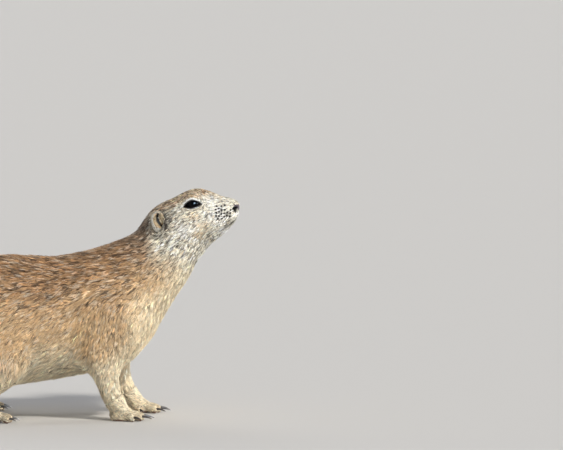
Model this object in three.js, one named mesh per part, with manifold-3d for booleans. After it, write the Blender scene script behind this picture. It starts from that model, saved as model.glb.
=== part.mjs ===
// A prairie dog at life size, standing alert on all fours with its head raised.
// Millimetres: +X points to the nose, +Y to the animal's left, +Z up, and the floor is z = 0.
// The form is blended from ellipsoids and tapered limbs, out to the tips of the short coat, and is
// parted by thin cuts into head, neck, trunk, tail, legs and feet. Eyes, ears and claws sit in
// pockets of the flesh that they grow from.

import * as THREE from "three";
import { mergeVertices } from "three/addons/utils/BufferGeometryUtils.js";
import Module from "manifold-3d";

const wasm = await Module();
wasm.setup();

const DEGREE = Math.PI / 180;
const SIDES = { left: 1, right: -1 };

// The clear gap between pieces that touch.
const GAP = 0.3;

// The head is placed from the point midway between the eyes.
const FACE = [92, 0, 147];
const EYE = { out: 12.6, radius: 6.1, lid: 0.95, forward: 14, up: 10 };
const EYE_SLIT = { half: 6.5, rise: 4.3, drop: 2.0, tilt: 8, low: 1.9, back: 1.0 };
const EAR = { back: 23.1, down: 12.6, out: 18.6, turn: 28, lean: 12, radii: [5.0, 3.4, 7.5] };
const EAR_CUP = { shift: [0, 2.6, 1.4], radii: [3.5, 3.4, 4.8] };

const MOUTH = { deep: 1.1, open: 0.5 };

// The standing pose. The left forefoot is a little ahead of the right, and the left hind foot behind.
const FORE_STEP = 5;
const HIND_STEP = -5;
const FORE = {
  shoulder: [42, 27, 72],
  elbow: [30, 32, 47],
  wrist: [41, 26, 16],
  palm: [49, 25, 5.0],
};
const HIND = {
  hip: [-64, 24, 62],
  knee: [-40, 38, 38],
  heel: [-77, 35, 6.4],
  ball: [-50, 38, 4.8],
};
const TAIL = [
  [-92, 0, 62],
  [-118, 0, 50],
  [-142, 3, 40],
  [-166, 7, 33],
  [-187, 12, 30],
];
const TAIL_RADII = [15, 9.5, 8.8, 8.6, 6];
const TAIL_FLAT = 1.32;

// The pad under each palm, cut flat where it meets the floor.
const PAD = { height: 4.2, radii: [9, 7.8, 6] };

// Toes from the inner one outwards: direction from straight ahead, in degrees to the outside, the
// place of the knuckle across the foot, and the length from knuckle to tip.
const FORE_TOES = [
  { name: "thumb", turn: -30, across: -6.2, ahead: -3.5, long: 5, radius: 1.9, claw: 4 },
  { name: "second", turn: -14, across: -4.6, ahead: 2.6, long: 9.5, radius: 2.5, claw: 8.5 },
  { name: "third", turn: -3, across: -1.0, ahead: 3.8, long: 10.5, radius: 2.6, claw: 9.5 },
  { name: "fourth", turn: 8, across: 2.7, ahead: 3.4, long: 10, radius: 2.6, claw: 9 },
  { name: "fifth", turn: 22, across: 5.8, ahead: 0.6, long: 8, radius: 2.4, claw: 7.5 },
];
const HIND_TOES = [
  { name: "first", turn: -22, across: -6.0, ahead: -3.5, long: 8, radius: 2.3, claw: 5 },
  { name: "second", turn: -9, across: -3.9, ahead: 2.4, long: 10.5, radius: 2.6, claw: 6.5 },
  { name: "third", turn: 0, across: -0.4, ahead: 3.4, long: 11, radius: 2.7, claw: 7 },
  { name: "fourth", turn: 9, across: 3.2, ahead: 2.6, long: 10.5, radius: 2.6, claw: 6.5 },
  { name: "fifth", turn: 22, across: 6.0, ahead: -3.0, long: 8.5, radius: 2.3, claw: 5.5 },
];

const COLOURS = {
  head: 0xcdbf9f,
  coat: 0xb7966a,
  feet: 0xc9b488,
  tail: 0x8a6f50,
  ear: 0xc8a880,
  eye: 0x07070a,
  claw: 0x1d1915,
};

const face = (x, y, z) => [FACE[0] + x, FACE[1] + y, FACE[2] + z];
const vector = (p) => new THREE.Vector3(...p);
const both = (make) => [make(SIDES.left), make(SIDES.right)];

// A joint of a leg on one side, moved ahead by its share of the leg's step.
function joint(leg, name, side) {
  const [x, y, z] = leg[name];
  const order = Object.keys(leg);
  const share = order.indexOf(name) / (order.length - 1);
  return [x + (leg === FORE ? FORE_STEP : HIND_STEP) * side * share, y * side, z];
}

// Distance fields: each is a function of a point, and negative inside.

// An ellipsoid, its first axis raised by pitch and turned to the left by yaw, in degrees.
function ellipsoid(centre, radii, pitch = 0, yaw = 0) {
  const turn = new THREE.Euler(0, -pitch * DEGREE, yaw * DEGREE, "ZYX");
  const axes = new THREE.Matrix4().makeRotationFromEuler(turn).elements;
  return (x, y, z) => {
    const p = [x - centre[0], y - centre[1], z - centre[2]];
    let near = 0;
    let slope = 0;
    for (let k = 0; k < 3; k++) {
      const along = axes[4 * k] * p[0] + axes[4 * k + 1] * p[1] + axes[4 * k + 2] * p[2];
      near += (along / radii[k]) ** 2;
      slope += (along / radii[k] ** 2) ** 2;
    }
    const share = Math.sqrt(near);
    return slope > 0 ? (share * (share - 1)) / Math.sqrt(slope) : -Math.min(...radii);
  };
}

// A limb with round ends, its radius going from ra at a to rb at b.
function limb(a, b, ra, rb) {
  const [bx, by, bz] = [b[0] - a[0], b[1] - a[1], b[2] - a[2]];
  const square = bx * bx + by * by + bz * bz;
  const taper = ra - rb;
  const flank = square - taper * taper;
  return (x, y, z) => {
    const [px, py, pz] = [x - a[0], y - a[1], z - a[2]];
    const along = px * bx + py * by + pz * bz;
    const past = along - square;
    const off =
      (px * square - bx * along) ** 2 + (py * square - by * along) ** 2 + (pz * square - bz * along) ** 2;
    const near = along * along * square;
    const far = past * past * square;
    const cap = Math.sign(taper) * taper * taper * off;
    if (Math.sign(past) * flank * far > cap) return Math.sqrt(off + far) / square - rb;
    if (Math.sign(along) * flank * near < cap) return Math.sqrt(off + near) / square - ra;
    return (Math.sqrt((off * flank) / square) + along * taper) / square - ra;
  };
}

// The union of fields, with a fillet of about the given size where they meet.
function blend(fillet, ...fields) {
  return (x, y, z) => {
    let near = fields[0](x, y, z);
    for (let i = 1; i < fields.length; i++) {
      const next = fields[i](x, y, z);
      const mix = Math.max(fillet - Math.abs(near - next), 0) / fillet;
      near = Math.min(near, next) - (mix * mix * fillet) / 4;
    }
    return near;
  };
}

// A field made wider across Y by a factor, about a middle y.
function widened(field, middle, factor) {
  return (x, y, z) => field(x, middle + (y - middle) / factor, z);
}

// The flesh, as fields

function skull() {
  const crown = blend(
    9,
    ellipsoid(face(-11, 0, -11), [22, 18.5, 13.8], 20),
    ellipsoid(face(3, 0, -3.6), [13, 15.5, 11.2], 6),
    limb(face(5, 0, -5), face(22.8, 0, -4.9), 11.2, 8.3),
  );
  const chin = limb(face(2, 0, -18), face(18.8, 0, -12.8), 10.8, 6.0);
  const throat = limb(face(2, 0, -21.5), face(16.2, 0, -16.2), 12, 6.8);
  const muzzle = blend(
    5,
    crown,
    ...both((s) => ellipsoid(face(20.5, 4.8 * s, -9.0), [9.6, 7.0, 7.4], 8, 6 * s)),
    ...both((s) => ellipsoid(face(8, 8.5 * s, -12), [13, 9.5, 10], 10, 12 * s)),
    chin,
    throat,
  );
  const cheeks = blend(
    9,
    muzzle,
    ...both((s) => ellipsoid(face(-8, 12 * s, -15), [15, 11.6, 11.5], 10)),
    ellipsoid(face(-16, 0, -19), [15, 20.5, 14], 20),
  );
  const nose = ellipsoid(face(28.6, 0, -2.6), [3.4, 4.8, 4.0]);
  const lidRadius = EYE.radius + EYE.lid;
  const lids = both((s) => ellipsoid(face(0, EYE.out * s, 0), [lidRadius, lidRadius, lidRadius]));
  return blend(2.5, cheeks, nose, ...lids);
}

function foreleg(side) {
  const [shoulder, elbow, wrist, palm] = Object.keys(FORE).map((name) => joint(FORE, name, side));
  return blend(
    5,
    limb(shoulder, elbow, 14, 11.5),
    limb(elbow, wrist, 11.5, 6.8),
    widened(limb(wrist, palm, 6.6, 6.2), palm[1], 1.25),
  );
}

function hindleg(side) {
  const [hip, knee, heel, ball] = Object.keys(HIND).map((name) => joint(HIND, name, side));
  return blend(
    6,
    limb(hip, knee, 17, 14),
    limb(knee, heel, 13, 7.6),
    widened(limb(heel, ball, 7, 5.8), ball[1], 1.3),
  );
}

function tail() {
  const line = new THREE.CatmullRomCurve3(TAIL.map(vector));
  const size = new THREE.CatmullRomCurve3(TAIL_RADII.map((r) => new THREE.Vector3(r, 0, 0)));
  const count = 12;
  const lengths = [];
  for (let i = 0; i < count; i++) {
    const [a, b] = [line.getPoint(i / count), line.getPoint((i + 1) / count)];
    const [ra, rb] = [size.getPoint(i / count).x, size.getPoint((i + 1) / count).x];
    lengths.push(limb(a.toArray(), b.toArray(), ra, rb));
  }
  return widened((x, y, z) => Math.min(...lengths.map((f) => f(x, y, z))), 4, TAIL_FLAT);
}

function flesh() {
  const neck = widened(limb(face(-17, 0, -34), [35, 0, 79], 22, 37), 0, 1.08);
  const trunk = blend(
    22,
    ellipsoid([18, 0, 70], [46, 40, 40], 14),
    ellipsoid([-30, 0, 67], [50, 46, 45], -2),
    ellipsoid([-66, 0, 61], [41, 42, 43], -14),
  );
  const thighs = both((s) => ellipsoid([-58, 31 * s, 47], [33, 17, 30], -28, -8 * s));
  const shoulders = both((s) => ellipsoid([38, 26 * s, 68], [22, 15, 29], 20));
  const body = blend(14, trunk, neck, ...thighs, ...shoulders);
  return blend(10, blend(12, body, ...both(foreleg), ...both(hindleg), tail()), skull());
}

// Solids

// Grid planes from stops [start, step], up to the last stop's start.
function planes(...stops) {
  const found = [];
  for (let i = 0; i + 1 < stops.length; i++) {
    const [from, step] = stops[i];
    const span = stops[i + 1][0] - from;
    const count = Math.max(1, Math.round(span / step));
    for (let k = 0; k < count; k++) found.push(from + (span * k) / count);
  }
  found.push(stops[stops.length - 1][0]);
  return found;
}

// The same planes on both sides of y = 0.
function mirrored(...stops) {
  const half = planes(...stops);
  return [...half.slice(1).reverse().map((y) => -y), ...half];
}

function solidOf(positions, faces) {
  const vertProperties = new Float32Array(positions);
  return new wasm.Manifold(new wasm.Mesh({ numProp: 3, vertProperties, triVerts: new Uint32Array(faces) }));
}

// The surface where a field is zero, as one closed solid: a vertex in each grid cell that the surface
// passes through, and two triangles across each grid edge that it crosses. A form that runs on past
// the outermost planes is closed there.
function skinOf(field, xs, ys, zs) {
  const axes = [xs, ys, zs];
  const size = axes.map((axis) => axis.length);
  const step = [1, size[0], size[0] * size[1]];
  const outside = (n, axis) => n === 0 || n === size[axis] - 1;
  const values = [];
  for (let k = 0; k < size[2]; k++)
    for (let j = 0; j < size[1]; j++)
      for (let i = 0; i < size[0]; i++) {
        const value = field(xs[i], ys[j], zs[k]);
        const rim = outside(i, 0) || outside(j, 1) || outside(k, 2);
        values.push(rim ? Math.max(value, 1) : value);
      }

  const corners = [0, 1, 2, 3, 4, 5, 6, 7].map((c) => [c & 1, (c >> 1) & 1, (c >> 2) & 1]);
  const offsets = corners.map((c) => c[0] * step[0] + c[1] * step[1] + c[2] * step[2]);
  const positions = [];
  const vertexOf = new Map();
  for (let k = 0; k < size[2] - 1; k++)
    for (let j = 0; j < size[1] - 1; j++)
      for (let i = 0; i < size[0] - 1; i++) {
        const base = i * step[0] + j * step[1] + k * step[2];
        const middle = crossing(base, [i, j, k]);
        if (!middle) continue;
        vertexOf.set(base, positions.length / 3);
        positions.push(...settled(middle, [i, j, k]));
      }

  // The middle of the places where the surface crosses a cell's edges, or null if it misses them.
  function crossing(base, cell) {
    const sum = [0, 0, 0];
    let count = 0;
    for (let a = 0; a < 8; a++)
      for (let axis = 0; axis < 3; axis++) {
        const b = a | (1 << axis);
        const [va, vb] = [values[base + offsets[a]], values[base + offsets[b]]];
        if (b === a || va < 0 === vb < 0) continue;
        for (let n = 0; n < 3; n++) {
          const from = axes[n][cell[n] + corners[a][n]];
          const to = axes[n][cell[n] + corners[b][n]];
          sum[n] += from + ((to - from) * va) / (va - vb);
        }
        count++;
      }
    return count ? sum.map((s) => s / count) : null;
  }

  // Moves a point onto the surface, inside its own cell.
  function settled(point, cell) {
    const p = [...point];
    const reach = 0.05;
    for (let round = 0; round < 4; round++) {
      const distance = field(...p);
      const slope = p.map((value, n) => {
        const [before, after] = [[...p], [...p]];
        before[n] -= reach;
        after[n] += reach;
        return (field(...after) - field(...before)) / (2 * reach);
      });
      const square = slope[0] ** 2 + slope[1] ** 2 + slope[2] ** 2;
      if (square < 1e-6) break;
      for (let n = 0; n < 3; n++) {
        const [low, high] = [axes[n][cell[n]], axes[n][cell[n] + 1]];
        const margin = 0.03 * (high - low);
        p[n] = THREE.MathUtils.clamp(p[n] - (distance * slope[n]) / square, low + margin, high - margin);
      }
    }
    return p;
  }

  const spot = (v) => new THREE.Vector3().fromArray(positions, v * 3);
  const faces = [];
  for (let k = 1; k < size[2]; k++)
    for (let j = 1; j < size[1]; j++)
      for (let i = 1; i < size[0]; i++) {
        const n = i * step[0] + j * step[1] + k * step[2];
        for (let axis = 0; axis < 3; axis++) {
          const before = n - step[axis];
          if (values[n] < 0 === values[before] < 0) continue;
          const [u, v] = [step[(axis + 1) % 3], step[(axis + 2) % 3]];
          const ring = [before, before - u, before - u - v, before - v].map((c) => vertexOf.get(c));
          if (values[before] >= 0) ring.reverse();
          const [a, b, c, d] = ring;
          const across = spot(a).distanceTo(spot(c)) <= spot(b).distanceTo(spot(d));
          faces.push(...(across ? [a, b, c, a, c, d] : [a, b, d, b, c, d]));
        }
      }
  return solidOf(positions, faces);
}

// A closed three.js geometry as a solid.
function solid(geometry) {
  const plain = geometry.clone();
  plain.deleteAttribute("normal");
  plain.deleteAttribute("uv");
  const merged = mergeVertices(plain, 1e-4);
  return solidOf(merged.attributes.position.array, merged.index.array);
}

// An ellipsoidal solid with the axes that ellipsoid() has.
function ball(centre, radii, segments, pitch = 0, yaw = 0) {
  const geometry = new THREE.SphereGeometry(1, segments, Math.round(segments * 0.6));
  geometry.rotateX(Math.PI / 2);
  geometry.scale(...radii);
  geometry.rotateY(-pitch * DEGREE);
  geometry.rotateZ(yaw * DEGREE);
  geometry.translate(...centre);
  return solid(geometry);
}

// A tapered capsule from a to b.
function capsule(a, b, ra, rb, segments) {
  const [from, to] = [vector(a), vector(b)];
  const long = from.distanceTo(to);
  const quarter = 3;
  const profile = [];
  for (let i = 0; i <= quarter; i++) {
    const angle = (Math.PI / 2) * (i / quarter);
    profile.push(new THREE.Vector2(ra * Math.sin(angle), -ra * Math.cos(angle)));
  }
  for (let i = 0; i <= quarter; i++) {
    const angle = (Math.PI / 2) * (i / quarter);
    profile.push(new THREE.Vector2(rb * Math.cos(angle), long + rb * Math.sin(angle)));
  }
  profile[0].x = 0;
  profile[profile.length - 1].x = 0;
  const geometry = new THREE.LatheGeometry(profile, segments);
  const turn = new THREE.Quaternion().setFromUnitVectors(
    new THREE.Vector3(0, 1, 0),
    to.clone().sub(from).normalize(),
  );
  geometry.applyQuaternion(turn);
  geometry.translate(...a);
  return solid(geometry);
}

// Everything past a plane through a point, on the side that its normal points to.
function beyond(point, normal) {
  const reach = 400;
  const geometry = new THREE.BoxGeometry(reach, reach, reach);
  geometry.translate(0, 0, reach / 2);
  const turn = new THREE.Quaternion().setFromUnitVectors(
    new THREE.Vector3(0, 0, 1),
    vector(normal).normalize(),
  );
  geometry.applyQuaternion(turn);
  geometry.translate(...point);
  return solid(geometry);
}

// A rod along a curve, closed to a point at both ends. sizeAt gives its half-width and half-height.
function rod(points, steps, sides, sizeAt) {
  const curve = new THREE.CatmullRomCurve3(points.map(vector));
  const up = new THREE.Vector3(0, 0, 1);
  const positions = curve.getPoint(0).toArray();
  for (let i = 1; i < steps; i++) {
    const t = i / steps;
    const centre = curve.getPoint(t);
    const along = curve.getTangent(t);
    const across = new THREE.Vector3().crossVectors(along, up).normalize();
    const over = new THREE.Vector3().crossVectors(across, along);
    const [wide, high] = sizeAt(t);
    for (let k = 0; k < sides; k++) {
      const angle = (2 * Math.PI * (k + 0.5)) / sides;
      const p = centre.clone();
      p.addScaledVector(across, wide * Math.cos(angle));
      p.addScaledVector(over, high * Math.sin(angle));
      positions.push(...p.toArray());
    }
  }
  positions.push(...curve.getPoint(1).toArray());
  const last = positions.length / 3 - 1;
  const ring = (i, k) => 1 + (i - 1) * sides + (k % sides);
  const faces = [];
  for (let k = 0; k < sides; k++) {
    faces.push(0, ring(1, k + 1), ring(1, k));
    faces.push(last, ring(steps - 1, k), ring(steps - 1, k + 1));
    for (let i = 1; i < steps - 1; i++) {
      faces.push(ring(i, k), ring(i, k + 1), ring(i + 1, k));
      faces.push(ring(i, k + 1), ring(i + 1, k + 1), ring(i + 1, k));
    }
  }
  const made = solidOf(positions, faces);
  return made.volume() > 0 ? made : solidOf(positions, faces.reverse());
}

const union = (...solids) => solids.reduce((a, b) => a.add(b));

function largest(made) {
  return made.decompose().reduce((a, b) => (a.volume() > b.volume() ? a : b));
}

// Cutters, each with the gap added when it is made for the neighbour

const headCut = { point: face(-40, 0, -18.5), normal: [0.42, 0, 0.91] };
const neckCut = { point: [32, 0, 108], normal: [0.74, 0, 0.67] };
const tailCut = { point: [-106, 0, 54], normal: [-0.92, 0, -0.4] };

function past(cut, shift) {
  const along = vector(cut.normal).normalize().multiplyScalar(shift);
  return beyond(vector(cut.point).add(along).toArray(), cut.normal);
}

function forelegCutter(side, gap) {
  const [elbow, palm] = [joint(FORE, "elbow", side), joint(FORE, "palm", side)];
  const top = [elbow[0] + 6, elbow[1] + 6 * side, elbow[2] + 20];
  const shoulderRadius = 19;
  const footRadius = 17;
  return capsule(top, palm, shoulderRadius + gap, footRadius + gap, 12);
}

function hindlegCutter(side, gap) {
  const [knee, heel, ballOfFoot] = ["knee", "heel", "ball"].map((name) => joint(HIND, name, side));
  const hock = [heel[0] - 2, heel[1] + 3 * side, heel[2] + 6];
  const shin = capsule(knee, hock, 16 + gap, 17 + gap, 10);
  const thigh = ball([-61, 43 * side, 43], [36 + gap, 21 + gap, 31 + gap], 16, -28, -8 * side);
  return union(thigh, shin, capsule(heel, ballOfFoot, 14 + gap, 14 + gap, 8));
}

const wristCut = (side) => {
  const wrist = joint(FORE, "wrist", side);
  return { point: [wrist[0], wrist[1], wrist[2] - 1], normal: [0.55, 0, -0.84] };
};
const ankleCut = (side) => {
  const heel = joint(HIND, "heel", side);
  return { point: [heel[0], heel[1], heel[2] + 6.5], normal: [0.3, 0, -0.95] };
};

// Toes and claws of one foot: each claw sits in a pocket at its toe's tip

// Where a toe's knuckle, bend and tip are, for the palm or ball of a foot on one side.
function toeLine(palm, toe, side) {
  const turn = toe.turn * DEGREE;
  const ahead = [Math.cos(turn), Math.sin(turn) * side, 0];
  const knuckle = [palm[0] + toe.ahead, palm[1] + toe.across * side, palm[2] - 0.4];
  const at = (share, height) => [
    knuckle[0] + ahead[0] * toe.long * share,
    knuckle[1] + ahead[1] * toe.long * share,
    height,
  ];
  return { ahead, knuckle, bend: at(0.55, toe.radius + 1.5), tip: at(1, toe.radius - 0.1), at };
}

function toeSolid(palm, toe, side) {
  const { ahead, knuckle, bend, tip } = toeLine(palm, toe, side);
  const end = [tip[0] + ahead[0] * 1.2, tip[1] + ahead[1] * 1.2, tip[2] - 0.3];
  const root = [knuckle[0] - ahead[0] * 3, knuckle[1] - ahead[1] * 3, knuckle[2]];
  const size = (t) => {
    const round = Math.sqrt(1 - Math.abs(2 * t - 1) ** 7);
    return [toe.radius * round, (toe.radius + 0.2) * round];
  };
  return rod([root, knuckle, bend, tip, end], 6, 6, size);
}

function clawSolid(palm, toe, side, gap) {
  const { ahead, tip } = toeLine(palm, toe, side);
  const at = (distance, height) => [tip[0] + ahead[0] * distance, tip[1] + ahead[1] * distance, height];
  const low = 0.7;
  const points = [
    at(-2.2 - gap, tip[2] + 0.3),
    at(0.5, tip[2] + 0.8),
    at(toe.claw * 0.55, tip[2] + 0.4),
    at(toe.claw, low),
  ];
  const size = (t) => {
    const taper = Math.min(1, 3.2 * t + 0.25) * (1 - 0.8 * t ** 1.6);
    return [0.95 * taper + gap, 1.35 * taper + gap];
  };
  return rod(points, 4, 5, size);
}

// Head details

function eyeAxes(side) {
  const out = new THREE.Vector3(
    Math.sin(EYE.forward * DEGREE),
    side * Math.cos(EYE.forward * DEGREE),
    Math.tan(EYE.up * DEGREE),
  ).normalize();
  const level = new THREE.Vector3(0, 0, 1);
  const ahead = new THREE.Vector3().crossVectors(out, level).multiplyScalar(side).normalize();
  ahead.applyAxisAngle(out, -side * EYE_SLIT.tilt * DEGREE);
  const up = new THREE.Vector3().crossVectors(out, ahead).multiplyScalar(-side);
  return { out, ahead, up, centre: vector(face(0, EYE.out * side, 0)) };
}

// The almond opening between the lids, as a prism along the eye's axis.
function slitSolid(side) {
  const { out, ahead, up, centre } = eyeAxes(side);
  const shape = new THREE.Shape();
  shape.moveTo(-EYE_SLIT.half, 0);
  shape.quadraticCurveTo(0, 2 * EYE_SLIT.rise, EYE_SLIT.half, 0);
  shape.quadraticCurveTo(-1, -2 * EYE_SLIT.drop, -EYE_SLIT.half, 0);
  const geometry = new THREE.ExtrudeGeometry(shape, { depth: 12, bevelEnabled: false, curveSegments: 8 });
  const start = 2.6;
  geometry.translate(-EYE_SLIT.back, -EYE_SLIT.low, start);
  const basis = new THREE.Matrix4().makeBasis(ahead, up, out).setPosition(centre);
  geometry.applyMatrix4(basis);
  const made = solid(geometry);
  return made.volume() > 0 ? made : solid(turnedOut(geometry));
}

// The same triangles with each one's corners in the other order, so that they face the other way.
function turnedOut(geometry) {
  const turned = geometry.index ? geometry.toNonIndexed() : geometry.clone();
  const p = turned.attributes.position.array;
  for (let i = 0; i < p.length; i += 9)
    for (let n = 0; n < 3; n++) [p[i + 3 + n], p[i + 6 + n]] = [p[i + 6 + n], p[i + 3 + n]];
  return turned;
}

function nostrilSolid(side) {
  const line = [
    face(24.8, 7.8 * side, -3.4),
    face(27.2, 6.4 * side, -3.6),
    face(29.6, 4.5 * side, -4.0),
    face(31.4, 2.4 * side, -4.0),
  ];
  const swell = (t) => Math.sin(Math.PI * t);
  const opening = rod(line, 6, 6, (t) => [0.4 + 1.3 * swell(t), 0.4 + swell(t)]);
  const slit = [face(28.2, 5.4 * side, -4.2), face(29.6, 5.0 * side, -6.0), face(30.2, 4.0 * side, -7.6)];
  return opening.add(rod(slit, 4, 5, (t) => [1.0 - 0.5 * t, 1.0 - 0.4 * t]));
}

// Where a ray from a point inside the head comes out through the skin.
function outThrough(from, direction) {
  let [inner, outer] = [0, 40];
  const at = (distance) => from.map((value, n) => value + direction[n] * distance);
  for (let round = 0; round < 24; round++) {
    const middle = (inner + outer) / 2;
    if (whole(...at(middle)) < 0) inner = middle;
    else outer = middle;
  }
  return at(inner);
}

// The line of the mouth, a groove round the muzzle that drops towards its corners.
function mouthSolid() {
  const slope = 38 * DEGREE;
  const corner = 58 * DEGREE;
  const inside = face(16, 0, -21.6);
  const points = [];
  for (let i = -5; i <= 5; i++) {
    const angle = (corner * i) / 5;
    const ahead = Math.cos(angle);
    points.push(outThrough(inside, [ahead * Math.cos(slope), Math.sin(angle), ahead * Math.sin(slope)]));
  }
  return rod(points, 20, 5, () => [MOUTH.deep, MOUTH.open]);
}

// The cleft from the nose down to the mouth.
function cleftSolid() {
  const inside = face(22, 0, -6);
  const points = [6, -8, -22].map((rise) => {
    const angle = rise * DEGREE;
    return outThrough(inside, [Math.cos(angle), 0, Math.sin(angle)]);
  });
  return rod(points, 5, 5, () => [0.45, 0.7]);
}

function earSolid(side, gap) {
  const centre = face(-EAR.back, EAR.out * side, -EAR.down);
  const yaw = -EAR.turn * side;
  const outer = ball(centre, EAR.radii.map((r) => r + gap), 16, EAR.lean, yaw);
  if (gap > 0) return outer;
  const turn = new THREE.Euler(0, -EAR.lean * DEGREE, yaw * DEGREE, "ZYX");
  const shift = vector([EAR_CUP.shift[0], EAR_CUP.shift[1] * side, EAR_CUP.shift[2]]).applyEuler(turn);
  const cup = ball(vector(centre).add(shift).toArray(), EAR_CUP.radii, 14, EAR.lean, yaw);
  return outer.subtract(cup);
}

// The pieces

const whole = flesh();
const floor = beyond([0, 0, 0], [0, 0, -1]);

const headGrid = skinOf(
  whole,
  planes([FACE[0] - 52, 5], [FACE[0] - 14, 2.8], [FACE[0] + 12, 2.2], [FACE[0] + 36, 1]),
  mirrored([0, 2.6], [31.2, 2.6]),
  planes([FACE[2] - 54, 5], [FACE[2] - 23, 2.5], [FACE[2] + 14, 1]),
);
const trunkGrid = skinOf(
  whole,
  planes([-130, 12], [112, 12]),
  mirrored([0, 11], [66, 11]),
  planes([-4, 11], [136, 11]),
);

function legGrid(centre, half, step) {
  const [xs, ys, zs] = centre.map((c, n) => planes([c - half[n], step], [c + half[n], step]));
  return skinOf(whole, xs, ys, zs);
}

const pieces = new Map();

let head = headGrid.intersect(past(headCut, GAP / 2));
for (const side of Object.values(SIDES)) {
  const socket = ball(face(0, EYE.out * side, 0), Array(3).fill(EYE.radius + GAP), 16);
  head = head.subtract(socket).subtract(slitSolid(side)).subtract(nostrilSolid(side));
  head = head.subtract(earSolid(side, GAP));
}
head = head.subtract(mouthSolid()).subtract(cleftSolid());
pieces.set("head", [head, COLOURS.head]);

const neckBody = trunkGrid.subtract(past(headCut, -GAP / 2));
let trunk = neckBody.subtract(past(neckCut, -GAP / 2)).subtract(past(tailCut, -GAP / 2));
let neck = neckBody.intersect(past(neckCut, GAP / 2));
for (const side of Object.values(SIDES)) {
  const cutters = [forelegCutter(side, GAP), hindlegCutter(side, GAP)];
  for (const cutter of cutters) {
    trunk = trunk.subtract(cutter);
    neck = neck.subtract(cutter);
  }
}
pieces.set("neck", [neck, COLOURS.coat]);
pieces.set("trunk", [trunk.subtract(floor), COLOURS.coat]);

const tailGrid = skinOf(
  whole,
  planes([-206, 8], [-90, 8]),
  planes([-30, 6], [36, 6]),
  planes([12, 5.4], [78, 5.4]),
);
pieces.set("tail", [tailGrid.intersect(past(tailCut, GAP / 2)), COLOURS.tail]);

for (const [sideName, side] of Object.entries(SIDES)) {
  const eye = ball(face(0, EYE.out * side, 0), Array(3).fill(EYE.radius), 16);
  pieces.set(`eye_${sideName}`, [eye, COLOURS.eye]);
  pieces.set(`ear_${sideName}`, [earSolid(side, 0), COLOURS.ear]);

  const foreGrid = legGrid([39, 30 * side, 44], [32, 27, 52], 6).intersect(forelegCutter(side, 0));
  const foreleg = foreGrid.subtract(past(wristCut(side), -GAP / 2));
  pieces.set(`foreleg_${sideName}`, [foreleg, COLOURS.coat]);
  const hindGrid = legGrid([-58, 38 * side, 38], [48, 30, 46], 7.5).intersect(hindlegCutter(side, 0));
  const hindleg = hindGrid.subtract(past(ankleCut(side), -GAP / 2)).subtract(floor);
  pieces.set(`hindleg_${sideName}`, [hindleg, COLOURS.coat]);

  const feet = [
    ["forefoot", joint(FORE, "palm", side), FORE_TOES, foreGrid.intersect(past(wristCut(side), GAP / 2))],
    ["hindfoot", joint(HIND, "ball", side), HIND_TOES, hindGrid.intersect(past(ankleCut(side), GAP / 2))],
  ];
  for (const [footName, palm, toes, sole] of feet) {
    const pad = ball([palm[0], palm[1], PAD.height], PAD.radii, 10);
    let foot = union(sole, pad, ...toes.map((toe) => toeSolid(palm, toe, side))).subtract(floor);
    for (const toe of toes) {
      foot = foot.subtract(clawSolid(palm, toe, side, GAP));
      pieces.set(`claw_${footName}_${sideName}_${toe.name}`, [clawSolid(palm, toe, side, 0), COLOURS.claw]);
    }
    pieces.set(`${footName}_${sideName}`, [foot, COLOURS.feet]);
  }
}

// The model, its box centred over the origin on the floor

const prairieDog = new THREE.Group();
for (const [name, [made, colour]] of pieces) {
  const { vertProperties, triVerts } = largest(made).getMesh();
  const geometry = new THREE.BufferGeometry();
  geometry.setAttribute("position", new THREE.BufferAttribute(vertProperties, 3));
  geometry.setIndex(new THREE.BufferAttribute(triVerts, 1));
  const roughness = name.startsWith("eye") ? 0.1 : 0.9;
  const material = new THREE.MeshStandardMaterial({ color: colour, roughness });
  const mesh = new THREE.Mesh(geometry, material);
  mesh.name = name;
  prairieDog.add(mesh);
}
const middle = new THREE.Box3().setFromObject(prairieDog).getCenter(new THREE.Vector3());
for (const mesh of prairieDog.children) mesh.position.set(-middle.x, -middle.y, 0);

export default prairieDog;
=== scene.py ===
"""A life-size prairie dog standing alert on all fours: skin, fur, eyes, ears, whiskers and claws."""

import math

import bpy
import numpy as np
from mathutils import Matrix, Vector
from mathutils.bvhtree import BVHTree
from mathutils.kdtree import KDTree


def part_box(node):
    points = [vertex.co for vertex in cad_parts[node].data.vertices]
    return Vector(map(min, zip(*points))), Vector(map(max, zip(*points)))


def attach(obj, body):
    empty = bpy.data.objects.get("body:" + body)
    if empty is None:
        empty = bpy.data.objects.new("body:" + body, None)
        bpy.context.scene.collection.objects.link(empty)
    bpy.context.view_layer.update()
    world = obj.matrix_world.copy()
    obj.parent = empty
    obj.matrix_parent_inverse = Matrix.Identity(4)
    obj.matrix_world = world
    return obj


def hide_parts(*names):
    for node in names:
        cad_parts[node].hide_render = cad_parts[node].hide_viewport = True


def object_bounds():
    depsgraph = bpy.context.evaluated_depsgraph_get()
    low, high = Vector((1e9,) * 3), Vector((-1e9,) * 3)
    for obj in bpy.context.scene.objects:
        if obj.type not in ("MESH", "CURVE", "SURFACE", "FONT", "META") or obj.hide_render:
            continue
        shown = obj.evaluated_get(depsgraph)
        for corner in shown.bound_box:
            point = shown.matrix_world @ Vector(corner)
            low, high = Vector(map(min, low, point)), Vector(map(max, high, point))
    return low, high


bl_info = {
    "name": "Prairie Dog",
    "version": (1, 0, 0),
    "blender": (4, 5, 0),
    "location": "View3D > Sidebar > Prairie Dog",
    "description": "Dresses a life-size prairie dog with skin, fur, eyes, ears, whiskers and claws",
    "category": "Add Mesh",
}

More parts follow.
